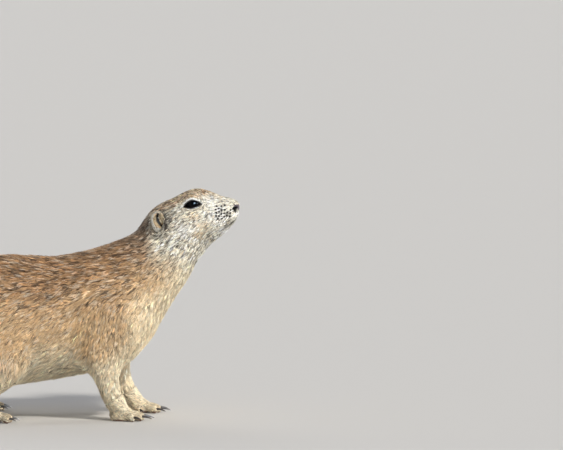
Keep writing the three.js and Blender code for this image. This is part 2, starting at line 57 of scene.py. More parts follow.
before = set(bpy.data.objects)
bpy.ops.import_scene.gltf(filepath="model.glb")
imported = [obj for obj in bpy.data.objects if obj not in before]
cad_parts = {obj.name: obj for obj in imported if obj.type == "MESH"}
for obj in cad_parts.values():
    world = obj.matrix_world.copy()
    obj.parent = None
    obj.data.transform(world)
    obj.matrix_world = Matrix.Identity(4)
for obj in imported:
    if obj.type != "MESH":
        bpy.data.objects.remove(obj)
CAD_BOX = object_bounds()

MM = 0.001
WELD = 0.001 * MM
SIDES = {"left": 1.0, "right": -1.0}
LEGS = [f"{leg}_{side}" for leg in ("foreleg", "hindleg") for side in SIDES]
FEET = [f"{foot}_{side}" for foot in ("forefoot", "hindfoot") for side in SIDES]
CLAWS = sorted(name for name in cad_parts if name.startswith("claw"))
FLESH = ["head", "neck", "trunk", "tail", *LEGS, *FEET]


def middle(node):
    """The middle of a node's box."""
    low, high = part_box(node)
    return (low + high) / 2


EYE_AT = {side: middle(f"eye_{side}") for side in SIDES}
EYE_RADIUS = (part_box("eye_left")[1].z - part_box("eye_left")[0].z) / 2
FACE = (EYE_AT["left"] + EYE_AT["right"]) / 2


# Settings

def length(name, description, default):
    return bpy.props.FloatProperty(
        name=name, description=description, default=default, subtype="DISTANCE", unit="LENGTH"
    )


def colour(name, description, default):
    return bpy.props.FloatVectorProperty(
        name=name, description=description, default=default, size=3, min=0, max=1, subtype="COLOR"
    )


def whole(name, description, default):
    return bpy.props.IntProperty(name=name, description=description, default=default, min=1)


class SkinSettings(bpy.types.PropertyGroup):
    """The skin that carries the coat."""

    head_voxel: length("Head voxel", "Grid of the head's skin", 0.48 * MM)
    foot_voxel: length("Foot voxel", "Grid of the feet's skin", 0.7 * MM)
    body_voxel: length("Body voxel", "Grid of the rest of the skin", 1.5 * MM)
    closing: length("Closing", "How far the pieces of flesh grow to close the cuts between them", 0.25 * MM)


class CoatSettings(bpy.types.PropertyGroup):
    """The fur: its number of tufts and its colours."""

    head_tufts: whole("Head tufts", "Tufts on each half of the head", 39000)
    cream: colour("Cream", "Palest fur, of the muzzle, the eye rings and the throat", (0.84, 0.77, 0.60))
    white: colour("White", "Fur of the eye rings and the lips", (0.95, 0.93, 0.87))
    buff: colour("Buff", "Sandy fur of the flanks and the cheeks", (0.56, 0.38, 0.20))
    peach: colour("Peach", "Warm fur of the cheeks", (0.78, 0.54, 0.30))
    cinnamon: colour("Cinnamon", "Reddish fur of the crown and the back", (0.32, 0.14, 0.05))
    grey: colour("Grey", "Fur between the eye and the ear", (0.26, 0.235, 0.19))
    dark: colour("Dark", "Black-brown hair tips", (0.030, 0.022, 0.018))
    belly: colour("Belly", "Fur of the underside", (0.72, 0.61, 0.42))


class EyeSettings(bpy.types.PropertyGroup):
    """The eyes and the lids round them."""

    iris: colour("Iris", "Dark brown ring round the pupil", (0.0045, 0.0036, 0.0036))
    lid: colour("Lid", "Bare dark edge of the lids", (0.014, 0.010, 0.009))
    half: length("Half length", "From the middle of the eye's opening to a corner", 6.5 * MM)
    rise: length("Rise", "Height of the upper lid over the line of the corners", 4.3 * MM)
    drop: length("Drop", "Depth of the lower lid under the line of the corners", 2.2 * MM)
    low: length("Low", "How far the opening's corners lie under the ball's middle", 1.9 * MM)
    back: length("Back", "How far the opening lies behind the ball's middle", 1.0 * MM)
    margin: length("Margin", "Width of the bare edge of the lids", 0.8 * MM)


class StageSettings(bpy.types.PropertyGroup):
    """Floor, lights and camera."""

    floor: colour("Floor", "Colour of the floor", (0.56, 0.545, 0.525))
    distance: length("Camera distance", "From the camera to the head", 3.0)
    elevation: bpy.props.FloatProperty(
        name="Elevation", description="Camera's height over level", default=math.radians(4), subtype="ANGLE"
    )


SETTINGS = {"skin": SkinSettings, "coat": CoatSettings, "eyes": EyeSettings, "stage": StageSettings}


def settings(name):
    return getattr(bpy.context.scene, "prairie_dog_" + name)


# Objects and meshes

def only(*objects):
    """Selects these objects alone, the first of them active."""
    for other in list(bpy.context.selected_objects):
        other.select_set(False)
    for each in objects:
        each.select_set(True)
    bpy.context.view_layer.objects.active = objects[0]


def put(name, mesh):
    piece = bpy.data.objects.new(name, mesh)
    bpy.context.scene.collection.objects.link(piece)
    return piece


def mesh_of(name, points, faces):
    """A mesh of points and equal-sided faces, both as arrays."""
    mesh = bpy.data.meshes.new(name)
    sides = faces.shape[1]
    mesh.vertices.add(len(points))
    mesh.vertices.foreach_set("co", np.asarray(points, np.float32).ravel())
    mesh.loops.add(faces.size)
    mesh.loops.foreach_set("vertex_index", faces.astype(np.int32).ravel())
    mesh.polygons.add(len(faces))
    mesh.polygons.foreach_set("loop_start", np.arange(0, faces.size, sides, dtype=np.int32))
    mesh.update(calc_edges=True)
    return mesh


def rows_of(collection, name, width, kind):
    """One property of everything in a mesh's collection, as rows of an array."""
    values = np.empty(len(collection) * width, kind)
    collection.foreach_get(name, values)
    return values.reshape(-1, width)


def loops(rows, around, total):
    """Quads between rows of points that each close round, where row total is row 0 again."""
    row, place = np.meshgrid(np.arange(rows), np.arange(around), indexing="ij")
    here, after = row * around, (row + 1) % total * around
    beside = (place + 1) % around
    return np.stack([here + place, after + place, after + beside, here + beside], -1).reshape(-1, 4)


def points_of(mesh):
    return rows_of(mesh.vertices, "co", 3, np.float32).astype(float)


def set_points(mesh, points):
    mesh.vertices.foreach_set("co", points.astype(np.float32).ravel())
    mesh.update()


def normals_of(mesh):
    return rows_of(mesh.vertex_normals, "vector", 3, np.float32).astype(float)


def edges_of(mesh):
    return rows_of(mesh.edges, "vertices", 2, np.int32)


def triangles_of(mesh):
    mesh.calc_loop_triangles()
    return rows_of(mesh.loop_triangles, "vertices", 3, np.int32)


def apply_modifier(piece, kind, **values):
    modifier = piece.modifiers.new(kind.title(), kind)
    for name, value in values.items():
        setattr(modifier, name, value)
    only(piece)
    bpy.ops.object.modifier_apply(modifier=modifier.name)


def edit_all(piece, operator, **values):
    """Runs an operator on all of a piece's mesh in edit mode."""
    only(piece)
    bpy.ops.object.mode_set(mode="EDIT")
    bpy.ops.mesh.select_all(action="SELECT")
    operator(**values)
    bpy.ops.object.mode_set(mode="OBJECT")


def ball(centre, radius, segments, rings):
    """A new sphere, which is then the active object."""
    bpy.ops.object.select_all(action="DESELECT")
    bpy.ops.mesh.primitive_uv_sphere_add(segments=segments, ring_count=rings, radius=radius, location=centre)
    return bpy.context.view_layer.objects.active


def copies(nodes, name):
    """One object made of copies of CAD nodes, with their loose triangles welded into surfaces."""
    parts = [put(name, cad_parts[node].data.copy()) for node in nodes]
    only(*parts)
    if len(parts) > 1:
        bpy.ops.object.join()
    joined = bpy.context.view_layer.objects.active
    joined.name = name
    joined.data.name = name
    joined.data.materials.clear()
    edit_all(joined, bpy.ops.mesh.remove_doubles, threshold=WELD)
    return joined


def write_attribute(mesh, name, values):
    """Stores one number or one colour for each vertex."""
    kind = "FLOAT" if values.ndim == 1 else "FLOAT_COLOR"
    attribute = mesh.attributes.new(name, kind, "POINT")
    if values.ndim == 1:
        attribute.data.foreach_set("value", values.astype(np.float32))
    else:
        opaque = np.concatenate([values, np.ones((len(values), 1))], 1)
        attribute.data.foreach_set("color", opaque.astype(np.float32).ravel())


def finish_piece(piece, material, slot, *nodes):
    """Gives a piece smooth shading and its material, hangs it under the root body, and hides the nodes that it
    stands for.
    """
    piece.data.polygons.foreach_set("use_smooth", np.ones(len(piece.data.polygons), bool))
    piece.data.materials.clear()
    piece.data.materials.append(material)
    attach(piece, "root")
    if nodes:
        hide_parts(*nodes)


# Numbers

def unit(vectors):
    return vectors / np.maximum(np.linalg.norm(vectors, axis=-1, keepdims=True), 1e-9)


def step(low, high, values):
    """0 below low, 1 above high, and a soft rise between them."""
    t = np.clip((values - low) / (high - low), 0, 1)
    return t * t * (3 - 2 * t)


def mix(a, b, factor):
    """Numbers between a and b."""
    return a * (1 - factor) + b * factor


def tinted(first, second, factor):
    """Colours between two colours, each one colour or one for each point."""
    factor = np.asarray(factor, float)[..., None]
    return np.asarray(first) * (1 - factor) + np.asarray(second) * factor


def flattened(vectors, normals):
    """Directions laid flat on the surface."""
    return unit(vectors - normals * np.sum(vectors * normals, 1)[:, None])


def spread(values, edges, rounds, pull=0.6):
    """Averages values over the surface's neighbours, by a pull of 0 to 1 that may differ at each point."""
    a, b = edges[:, 0], edges[:, 1]
    count = len(values)
    neighbours = np.bincount(a, minlength=count) + np.bincount(b, minlength=count)
    neighbours = np.maximum(neighbours, 1)[:, None]
    pull = np.broadcast_to(np.asarray(pull, float), count)[:, None]
    flat = values.reshape(count, -1).astype(float)
    for _ in range(rounds):
        total = np.empty_like(flat)
        for k in range(flat.shape[1]):
            total[:, k] = np.bincount(a, flat[b, k], count) + np.bincount(b, flat[a, k], count)
        flat = flat + (total / neighbours - flat) * pull
    return flat.reshape(values.shape)


def relaxed(points, edges, rounds, pull):
    """Smooths away facets and keeps the form's size, by adding back the smoothed remainder."""
    once = spread(points, edges, rounds, pull)
    return once + spread(points - once, edges, rounds, pull)


# Sine waves in the soft noise, the span of their rates, and the height that is brought down to 1
WAVE_COUNT, WAVE_RATES, WAVE_HEIGHT = 7, (0.6, 1.5), 1.6


def waves(points, size, seed):
    """Soft noise of about -1 to 1 whose bumps are about size across."""
    generator = np.random.default_rng(seed)
    total = np.zeros(len(points))
    for _ in range(WAVE_COUNT):
        direction = unit(generator.normal(size=3)) * (2 * math.pi / size) * generator.uniform(*WAVE_RATES)
        total += np.sin(points @ direction + generator.uniform(0, 2 * math.pi))
    return total / math.sqrt(WAVE_COUNT / 2) / WAVE_HEIGHT


# Eye geometry

# How the eye's opening is turned forward, raised, and tilted with its front corner up
EYE_TURN, EYE_LIFT, EYE_TILT = math.radians(14), math.radians(10), math.radians(8)


def eye_axes(side):
    """The eye's forward, upward and outward directions."""
    sign = SIDES[side]
    out = Vector((math.sin(EYE_TURN), sign * math.cos(EYE_TURN), math.tan(EYE_LIFT))).normalized()
    level = out.cross(Vector((0, 0, 1))).normalized() * sign
    upright = out.cross(level) * -sign
    ahead = level * math.cos(EYE_TILT) + upright * math.sin(EYE_TILT)
    up = upright * math.cos(EYE_TILT) - level * math.sin(EYE_TILT)
    return np.array(ahead), np.array(up), np.array(out)


def almond(across):
    """Upper and lower edge of the eye's opening at a place across it, from -1 to 1."""
    eyes = settings("eyes")
    bow = np.clip(1 - across * across, 0, None)
    skew = 1 - 0.15 * across
    return eyes.rise * bow**0.85 * skew, -eyes.drop * bow


# What counts for points on the other side of the head
FAR_OUTSIDE = -10 * MM


def eye_place(points, side):
    """How far points lie inside the eye's opening, and over the line of its corners, in metres."""
    eyes = settings("eyes")
    ahead, up, out = eye_axes(side)
    offset = points - np.array(EYE_AT[side])
    a = offset @ ahead + eyes.back
    b = offset @ up + eyes.low
    top, bottom = almond(np.clip(a / eyes.half, -1, 1))
    inward = np.minimum(top - b, b - bottom)
    past = np.abs(a) - eyes.half
    inward = np.where(past > 0, -past - np.abs(b) * 0.3, inward)
    return np.where(offset @ out > 0, inward, FAR_OUTSIDE), b


def inside_almond(points, side):
    """How far points lie inside the eye's opening, in metres, below 0 outside."""
    return eye_place(points, side)[0]


# Places on the body

NODE_OF = {name: index for index, name in enumerate(FLESH)}
KIND_OF = [name.split("_")[0] for name in FLESH]


class Surface:
    """Finished skins as arrays, one after another. The coat adds what it needs to know at each vertex."""

    def __init__(self, *meshes):
        counts = [len(mesh.vertices) for mesh in meshes]
        starts = np.cumsum([0, *counts[:-1]])
        self.shell = np.repeat(np.arange(len(meshes)), counts)
        self.points = np.concatenate([points_of(mesh) for mesh in meshes])
        self.normals = np.concatenate([normals_of(mesh) for mesh in meshes])
        self.edges = np.concatenate([edges_of(mesh) + start for mesh, start in zip(meshes, starts)])
        self.triangles = np.concatenate([triangles_of(mesh) + start for mesh, start in zip(meshes, starts)])


def nearest_nodes(points):
    """The flesh node nearest to each point, as an index in FLESH."""
    corners, faces, owner = [], [], []
    for index, node in enumerate(FLESH):
        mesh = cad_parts[node].data
        start = len(corners)
        corners.extend(v.co.copy() for v in mesh.vertices)
        triangles = triangles_of(mesh) + start
        faces.extend(triangles.tolist())
        owner.extend([index] * len(triangles))
    tree = BVHTree.FromPolygons(corners, faces)
    return np.array([owner[tree.find_nearest(Vector(p))[2]] for p in points])


def from_face(place):
    """A place in millimetres from the middle of the eyes, as a point in the frame."""
    return np.array(FACE) + np.array(place) * MM


def face_mm(points):
    """Points in millimetres from the middle of the eyes: ahead, off to the side, and up."""
    local = (points - np.array(FACE)) / MM
    return local[:, 0], np.abs(local[:, 1]), local[:, 2]


def above_neck(points):
    """Distance in millimetres above the plane where the head meets the neck."""
    x, y, z = face_mm(points)
    return 0.42 * (x + 40) + 0.91 * (z + 18.5)


# For each kind of node: the coat's depth, the tufts' length and width in millimetres, and the pull of the
# smoothing. The head's sizes are in a table of its own.
KINDS = {
    "head": (0, 0, 0, 0.5),
    "neck": (2.4, 5.5, 0.62, 0.62),
    "trunk": (2.8, 6.4, 0.68, 0.62),
    "tail": (3.2, 8.5, 0.75, 0.4),
    "foreleg": (1.9, 4.6, 0.58, 0.35),
    "hindleg": (2.4, 5.6, 0.64, 0.4),
    "forefoot": (0.7, 2.2, 0.45, 0.15),
    "hindfoot": (0.7, 2.4, 0.45, 0.15),
}
DEPTH, LENGTH, WIDTH, PULL = range(4)


def by_kind(field, node):
    """A value for each point from its node's kind."""
    return np.array([KINDS[kind][field] for kind in KIND_OF], float)[node]


# Lie and size of the coat

# On the head, in millimetres: the value at the nose, what it gains between two places along the head, and for
# depth and length the most round an eye and the distances from the eye's middle where that ends
HEAD_COAT = {
    DEPTH: (0.45, ((0.55, 24, 10), (0.8, 4, -20)), (0.45, 7.5, 11)),
    LENGTH: (1.5, ((1.5, 24, 8), (1.2, 2, -20)), (1.7, 7, 11)),
    WIDTH: (0.33, ((0.11, 24, 4), (0.10, 0, -22)), None),
}


def eye_distance(points):
    """Distance in millimetres from the nearer eye's middle."""
    return np.min([np.linalg.norm(points - np.array(eye), axis=1) for eye in EYE_AT.values()], axis=0) / MM


def coat_size(field, points, node):
    """The coat's depth, or its tufts' length or width, in metres."""
    start, gains, round_eye = HEAD_COAT[field]
    x = face_mm(points)[0]
    head = start
    for gain, front, back in gains:
        head = head + gain * step(front, back, x)
    if round_eye:
        most, near, far = round_eye
        head = mix(np.minimum(head, most), head, step(near, far, eye_distance(points)))
    return mix(by_kind(field, node), head, node == NODE_OF["head"]) * MM


# The place before the nose from which the head's hair points away, in millimetres from the middle of the eyes
HAIR_FROM = (37, 0, 3)


def lie_of_coat(surface, node):
    """The direction in which the hair points, along the skin."""
    points, normals = surface.points, surface.normals
    tail_low, tail_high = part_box("tail")
    x, y, z = face_mm(points)
    # On the head it points away from the nose, lower on the cheeks; on the body back, lower on the flanks
    away = unit(points - np.array(FACE) - np.array(HAIR_FROM) * MM)
    away[:, 2] -= 0.35 * step(20, -10, x) * step(4, -8, z)
    away[:, 1] *= 0.65
    sinking = 0.28 + 0.55 * (1 - np.abs(normals[:, 2]))
    kinds = np.array(KIND_OF)[node]
    lie = np.stack([np.full(len(points), -1.0), np.zeros(len(points)), -sinking], 1)
    lie[kinds == "head"] = away[kinds == "head"]
    lie[np.isin(kinds, ("foreleg", "hindleg"))] = (-0.25, 0.0, -1.0)
    lie[np.isin(kinds, ("forefoot", "hindfoot"))] = (1.0, 0.0, -0.35)
    lie[kinds == "tail"] = (tail_low.x - tail_high.x, 0.012, tail_low.z - tail_high.z + 0.02)
    lie = unit(lie)
    for _ in range(6):
        lie = flattened(spread(lie, surface.edges, 6), normals)
    for eye in EYE_AT.values():
        # Hair that would point into the eye goes round it
        outwards = flattened(points - np.array(eye), normals)
        inward = np.minimum(np.sum(lie * outwards, 1), 0)
        near = step(13, 8, np.linalg.norm(points - np.array(eye), axis=1) / MM)
        lie = unit(lie - outwards * (inward * near)[:, None])
    return lie


# Markings

def spot(x, z, centre, radii):
    """A soft spot of 1 at its centre and about 0 past its radii."""
    return np.exp(-1.3 * (((x - centre[0]) / radii[0]) ** 2 + ((z - centre[1]) / radii[1]) ** 2))


FUR_COLOURS = ("cream", "white", "buff", "peach", "cinnamon", "grey", "dark", "belly")


def palette():
    coat = settings("coat")
    return {name: np.array(getattr(coat, name)) for name in FUR_COLOURS}


def body_markings(points, normals, paint):
    """Warm and grizzled above, sandy on the flanks, pale on the chest, the belly and the feet."""
    height = normals[:, 2] + 0.16 * waves(points, 0.05, 3)
    back = tinted(paint["buff"], paint["cinnamon"], 0.58)
    tint = tinted(paint["belly"], paint["buff"], step(-0.75, -0.10, height))
    tint = tinted(tint, back, step(-0.15, 0.80, height))
    dark = 0.05 + 0.17 * step(-0.2, 0.7, height)
    pale = 0.12 + 0.10 * step(-0.2, 0.7, height)
    chest = step(0.25, 0.85, normals[:, 0]) * step(0.02, 0.06, points[:, 0])
    tint = tinted(tint, paint["belly"], chest * 0.85)
    low = step(0.060, 0.018, points[:, 2]) * step(-0.10, -0.085, points[:, 0])
    tint = tinted(tint, tinted(paint["belly"], paint["cream"], 0.3), low * 0.85)
    dark = dark * (1 - low * 0.8) * (1 - chest * 0.7)
    return tint, dark, pale


# The places below are in millimetres ahead of the middle of the eyes and above it

# The lower edge of the brown crown: places along the head, and the edge's height at each place
CAP_EDGE = (
    (-34, -24, -16, -11, -5.5, -1.7, 5, 11, 17, 20),
    (-8, -5.2, -4.2, -1.8, 1.9, 3.9, 4.2, 4.6, 5.6, 8),
)

EAR_SHADOW = (-16, -12.5), (3.2, 6)

# Spots of the face: colour, strength, middle and radii; some are painted shade, as noted at each
FACE_SPOTS = (
    ("white", 0.80, (18, -7), (10, 8)),
    ("buff", 0.85, (22, 5.5), (9, 2.8)),
    ("grey", 0.62, (-12, -8), (7, 5.5)),
    ("peach", 0.55, (1.5, -8), (5, 4)),
    ("grey", 0.45, (-2, -10), (6, 4)),
    ("peach", 0.60, (9, -14), (6.5, 3.5)),
    ("peach", 0.85, (5, -19.5), (6, 3)),
    ("buff", 0.35, (-9, -15), (7, 5)),
    ("white", 0.90, (-4, -16), (7, 5)),
    ("white", 0.55, (12, 1.6), (7, 3)),
    ("white", 0.95, (24, -18), (7, 3.6)),
    # Painted shade above the mouth's line, where the upper lip turns under
    ("grey", 0.88, (25.5, -11.8), (4, 3.4)),
    ("white", 0.97, (31.8, -9), (2.6, 6)),
    ("dark", 0.97, *EAR_SHADOW),
    ("dark", 0.55, (-20, -20.5), (5, 3)),
    # Painted shade under the jaw
    ("dark", 0.35, (14, -23.5), (5.5, 2.4)),
    ("dark", 0.60, (9.4, 0), (2.6, 0.7)),
)

# Spots with more dark tips, and spots with fewer: strength, middle and radii
GRIZZLED = ((0.12, (-10, -10), (12, 9)), (0.34, (12, -25), (12, 4.5)))
CLEAN = ((0.40, (20, -5.5), (6, 5)), (0.6, (6, -19), (7, 4)), (0.9, (24, -18), (7, 3)))


def head_markings(points, paint):
    """Brown crown, white round the eyes and on the lips, peach cheeks, and grey before the ears, with painted
    shade on the nape, under the jaw and above the mouth.
    """
    x, y, z = face_mm(points)
    grizzle = waves(points, 0.005, 5)
    cap = step(-1.0, 1.3, z - np.interp(x, *CAP_EDGE) + 0.8 * grizzle) * step(21, 13, x)
    base = tinted(paint["cream"], paint["grey"], 0.22)
    tint = np.broadcast_to(base, points.shape)
    for name, strength, centre, radii in FACE_SPOTS:
        tint = tinted(tint, paint[name], strength * spot(x, z, centre, radii))
    crown = tinted(paint["cinnamon"], paint["peach"], 0.36 + 0.25 * spot(x, z, (3, 8), (8, 4)))
    tint = tinted(tint, crown, cap * 0.92)
    # Painted shade: the nape behind the ears is darker, lying in the head's shadow, and has fewer pale tips
    nape_shade = step(-22, -31, x)
    tint = tinted(tint, tinted(paint["cinnamon"], paint["dark"], 0.55), nape_shade * 0.8)
    dark = 0.26 + 0.18 * cap
    for strength, centre, radii in GRIZZLED:
        dark = dark + strength * spot(x, z, centre, radii)
    # Fewer on the muzzle, but for the lip
    dark = dark * (1 - 0.30 * step(8, 18, x) * (1 - spot(x, z, (24, -12), (8, 6))))
    ear_shadow = spot(x, z, *EAR_SHADOW)
    dark = mix(dark, 0.7, ear_shadow)
    for strength, centre, radii in CLEAN:
        dark = dark * (1 - strength * spot(x, z, centre, radii))
    pale = (0.30 + 0.10 * cap) * (1 - ear_shadow) * (1 - 0.8 * nape_shade)
    for side in SIDES:
        inward, over = (value / MM for value in eye_place(points, side))
        above = step(-0.9, 0.5, over)
        under = step(-2.2, -1.4, inward) * (1 - above)
        tint = tinted(tint, tinted(paint["grey"], paint["dark"], 0.3), under * 0.75)
        ring = step(-1.35, -0.75, inward + 0.4 * (above - 1))
        tint = tinted(tint, tinted(tinted(paint["cream"], paint["buff"], 0.2), paint["white"], above), ring)
        dark = dark * (1 - step(-1.6, -1.0, inward))
    return tint, dark, pale


def coat_colour(points, normals, node):
    """The fur's colour, and the shares of tufts with dark tips and with pale tips."""
    paint = palette()
    tint, dark, pale = body_markings(points, normals, paint)

    # The last third of the tail is black
    low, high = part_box("tail")
    along = (high.x - points[:, 0]) / (high.x - low.x)
    black = step(0.60, 0.72, along + 0.03 * waves(points, 0.012, 8)) * (node == NODE_OF["tail"])
    tint = tinted(tint, paint["dark"], black * 0.93)
    pale = pale * (1 - black)

    on_head = step(-22, 7, above_neck(points)) * step(0.05, 0.07, points[:, 0])
    head_tint, head_dark, head_pale = head_markings(points, paint)
    return tinted(tint, head_tint, on_head), mix(dark, head_dark, on_head), mix(pale, head_pale, on_head)


# Materials

class Value:
    """A shader socket on which Python arithmetic adds Math nodes."""

    def __init__(self, shader, socket):
        self.shader = shader
        self.socket = socket

    def math(self, operation, *values):
        return self.shader.node("ShaderNodeMath", {"operation": operation}, *values)

    def __add__(self, other):
        return self.math("ADD", self, other)

    def __sub__(self, other):
        return self.math("SUBTRACT", self, other)

    def __rsub__(self, other):
        return self.math("SUBTRACT", other, self)

    def __mul__(self, other):
        return self.math("MULTIPLY", self, other)

    __radd__ = __add__
    __rmul__ = __mul__


class Nodes:
    """A node tree to which nodes are added."""

    def __init__(self, tree):
        self.tree = tree

    def node(self, kind, options, *values, output=0, **named):
        """Adds a node with its options, such as a ramp's stops, and its sockets' values by place or name."""
        made = self.tree.nodes.new(kind)
        for name, value in options.items():
            if name == "stops":
                elements = made.color_ramp.elements
                while len(elements) < len(value):
                    elements.new(0.5)
                for element, (place, tint) in zip(elements, value):
                    element.position = place
                    element.color = (*tint, 1)
            else:
                setattr(made, name, value)
        for place, value in [*enumerate(values), *named.items()]:
            self.feed(made.inputs[place.replace("_", " ") if isinstance(place, str) else place], value)
        return Value(self, made.outputs[output])

    def feed(self, socket, value):
        if isinstance(value, Value):
            self.tree.links.new(value.socket, socket)
        elif value is not None:
            socket.default_value = value


class Shader(Nodes):
    """A new material and its nodes."""

    def __init__(self, name):
        self.material = bpy.data.materials.new(name)
        self.material.use_nodes = True
        super().__init__(self.material.node_tree)
        self.surface = self.tree.nodes["Principled BSDF"]

    def mixed(self, factor, first, second):
        """A colour between two colours."""
        ends = [end if isinstance(end, Value) else (*end, 1) for end in (first, second)]
        return self.node("ShaderNodeMix", {"data_type": "RGBA"}, factor, *[None] * 5, *ends, output=2)

    def scaled(self, tint, value):
        """A colour made lighter or darker by a factor."""
        options = {"operation": "SCALE"}
        return self.node("ShaderNodeVectorMath", options, tint, output="Vector", Scale=value)

    def noise(self, size, detail=3.0):
        """Noise of 0 to 1 whose bumps are about size metres across."""
        place = self.node("ShaderNodeTexCoord", {}, output="Object")
        values = {"Vector": place, "Scale": 1 / size, "Detail": detail, "Roughness": 0.55}
        return self.node("ShaderNodeTexNoise", {}, output="Fac", **values)

    def attribute(self, name, output="Color"):
        return self.node("ShaderNodeAttribute", {"attribute_name": name}, output=output)

    def bump(self, height, distance, strength):
        """A normal bent by a height of 0 to 1, whose full rise is a distance in metres."""
        values = {"Strength": strength, "Distance": distance, "Height": height}
        return self.node("ShaderNodeBump", {}, output="Normal", **values)

    def finish(self, **named):
        """Feeds the surface's sockets and returns the material."""
        for name, value in named.items():
            self.feed(self.surface.inputs[name.replace("_", " ")], value)
        return self.material


def fur_material():
    shader = Shader("Fur")
    grain = shader.noise(0.8 * MM, 2.0)
    soft = shader.noise(8 * MM, 2.0)
    return shader.finish(
        Base_Color=shader.scaled(shader.attribute("tuft_colour"), grain * 0.36 + soft * 0.12 + 0.76),
        Roughness=grain * 0.2 + 0.60,
        Specular_IOR_Level=0.12,
        Sheen_Weight=0.1,
        Sheen_Roughness=0.5,
    )


def skin_material():
    shader = Shader("Skin")
    bare = shader.attribute("bare", "Fac")
    grain = shader.noise(0.45 * MM)
    streaks = shader.noise(2.2 * MM, 4.0)
    return shader.finish(
        Base_Color=shader.scaled(shader.attribute("skin_colour"), grain * 0.35 + streaks * 0.35 + 0.62),
        Roughness=0.85 - bare * 0.45,
        Specular_IOR_Level=0.08,
        Normal=shader.bump(grain * 0.6 + streaks, 0.25 * MM, 0.7),
    )


def eye_material():
    eyes = settings("eyes")
    shader = Shader("Eye")
    ring = shader.attribute("iris", "Fac")
    fibres = shader.noise(0.5 * MM, 4.0)
    iris = shader.mixed(fibres, tuple(eyes.iris), tuple(c * 2 for c in eyes.iris))
    return shader.finish(
        Base_Color=shader.mixed(ring, (0.0014, 0.0016, 0.0022), iris),
        Roughness=0.07,
        Specular_IOR_Level=0.045,
        Specular_Tint=(0.6, 0.8, 1, 1),
    )


def lid_material():
    eyes = settings("eyes")
    shader = Shader("Lid")
    grain = shader.noise(0.35 * MM)
    pale = shader.attribute("pale", "Fac")
    rim = shader.mixed(grain * 0.3, tuple(eyes.lid), (0.10, 0.07, 0.06))
    return shader.finish(
        Base_Color=shader.mixed(pale, rim, (0.92, 0.89, 0.80)),
        Roughness=grain * 0.25 + 0.3,
        Normal=shader.bump(grain, 0.08 * MM, 0.6),
    )


def ear_material():
    shader = Shader("Ear")
    grain = shader.noise(0.5 * MM)
    veins = shader.noise(1.8 * MM)
    return shader.finish(
        Base_Color=shader.scaled(shader.attribute("ear_colour"), grain * 0.25 + veins * 0.35 + 0.7),
        Roughness=0.62,
        Specular_IOR_Level=0.12,
        Subsurface_Weight=0.12,
        Subsurface_Scale=1 * MM,
        Normal=shader.bump(grain, 0.1 * MM, 0.6),
    )


def claw_material():
    shader = Shader("Claw")
    along = shader.attribute("along", "Fac")
    grain = shader.noise(0.7 * MM, 4.0)
    stops = ((0.0, (0.075, 0.055, 0.042)), (0.55, (0.026, 0.02, 0.017)), (1.0, (0.16, 0.125, 0.09)))
    return shader.finish(
        Base_Color=shader.node("ShaderNodeValToRGB", {"stops": stops}, along + grain * 0.2 - 0.1),
        Roughness=grain * 0.25 + 0.22,
        Normal=shader.bump(grain, 0.06 * MM, 0.5),
    )


def whisker_material():
    shader = Shader("Whisker")
    grain = shader.noise(1.5 * MM, 2.0)
    tint = shader.mixed(grain, (0.006, 0.005, 0.005), (0.03, 0.025, 0.02))
    return shader.finish(Base_Color=tint, Roughness=0.6, Specular_IOR_Level=0.1)


# The skin

# What one operator makes and later ones read: the skin, the fur's material, and points on the mouth's line, on
# the cleft and at the whiskers' dots
MADE = {}


def fill(shell, centre, radius):
    """Joins a ball to a shell, so that a hole in it is closed when both become one skin."""
    only(shell, ball(centre, radius, 32, 20))
    bpy.ops.object.join()


# How much wider than the eyeball the ball is that fills its socket
EYE_PLUG = 0.8 * MM

# Balls that fill the solid's nostrils, whose holes are cut finer in the skin: place and radius in millimetres
NOSTRIL_PLUGS = (
    (25.2, 7.4, -3.5, 1.3),
    (27.0, 6.4, -3.6, 1.9),
    (28.6, 5.2, -4.2, 2.0),
    (29.6, 4.4, -3.8, 2.0),
    (30.3, 3.3, -3.9, 1.8),
    (30.7, 2.2, -4.0, 1.5),
    (29.2, 5.2, -5.6, 1.6),
    (29.9, 4.3, -7.2, 1.4),
)


def skin_shell(name, nodes, voxel, pull_at):
    """A closed skin over some nodes, its cuts closed and its facets smoothed, and its nearest nodes."""
    shell = copies(nodes, name)
    apply_modifier(shell, "DISPLACE", strength=settings("skin").closing, mid_level=0)
    if "head" in nodes:
        for side, sign in SIDES.items():
            fill(shell, EYE_AT[side], EYE_RADIUS + EYE_PLUG)
            for x, y, z, radius in NOSTRIL_PLUGS:
                fill(shell, FACE + Vector((x, y * sign, z)) * MM, radius * MM)
    apply_modifier(shell, "REMESH", mode="VOXEL", voxel_size=voxel, adaptivity=0)
    points = points_of(shell.data)
    node = nearest_nodes(points)
    edges = edges_of(shell.data)
    pull = spread(pull_at(points, node), edges, 8)
    set_points(shell.data, relaxed(points, edges, 60, pull))
    return shell, node


# The front of the ears, in millimetres ahead of the middle of the eyes
EARS_FRONT = -14


def head_pull(points, node):
    """Little before the ears, to keep the face's forms, and much behind them."""
    x = face_mm(points)[0]
    return np.where(x > EARS_FRONT, 0.20 + 0.1 * step(10, EARS_FRONT, x), 0.62)


def foot_pull(points, node):
    return np.full(len(points), 0.10)


def body_pull(points, node):
    return by_kind(PULL, node)


# Where the head's finer skin takes over from the body's, in millimetres above the neck
TAKEOVER = 5.0

# The mouth's line lies in a plane that rises forward through a point inside the head, between its two corners
MOUTH_SLOPE = math.radians(38)
MOUTH_CORNER = math.radians(80)
MOUTH_INSIDE = (19.2, 0, -19.1)

# The cleft runs down the nose's middle as seen from a point inside the head, between two angles over level
CLEFT_INSIDE = (22, 0, -6)
CLEFT_ANGLES = np.radians(np.linspace(4, -24, 12))


def millimetre_tree(points, triangles):
    """A search tree in millimetres, since rays miss triangles that are small in metres."""
    return BVHTree.FromPolygons((points / MM).tolist(), triangles.tolist())


# A distance from the head's middle, in millimetres, that lies outside the head on every side
OUTSIDE = 60


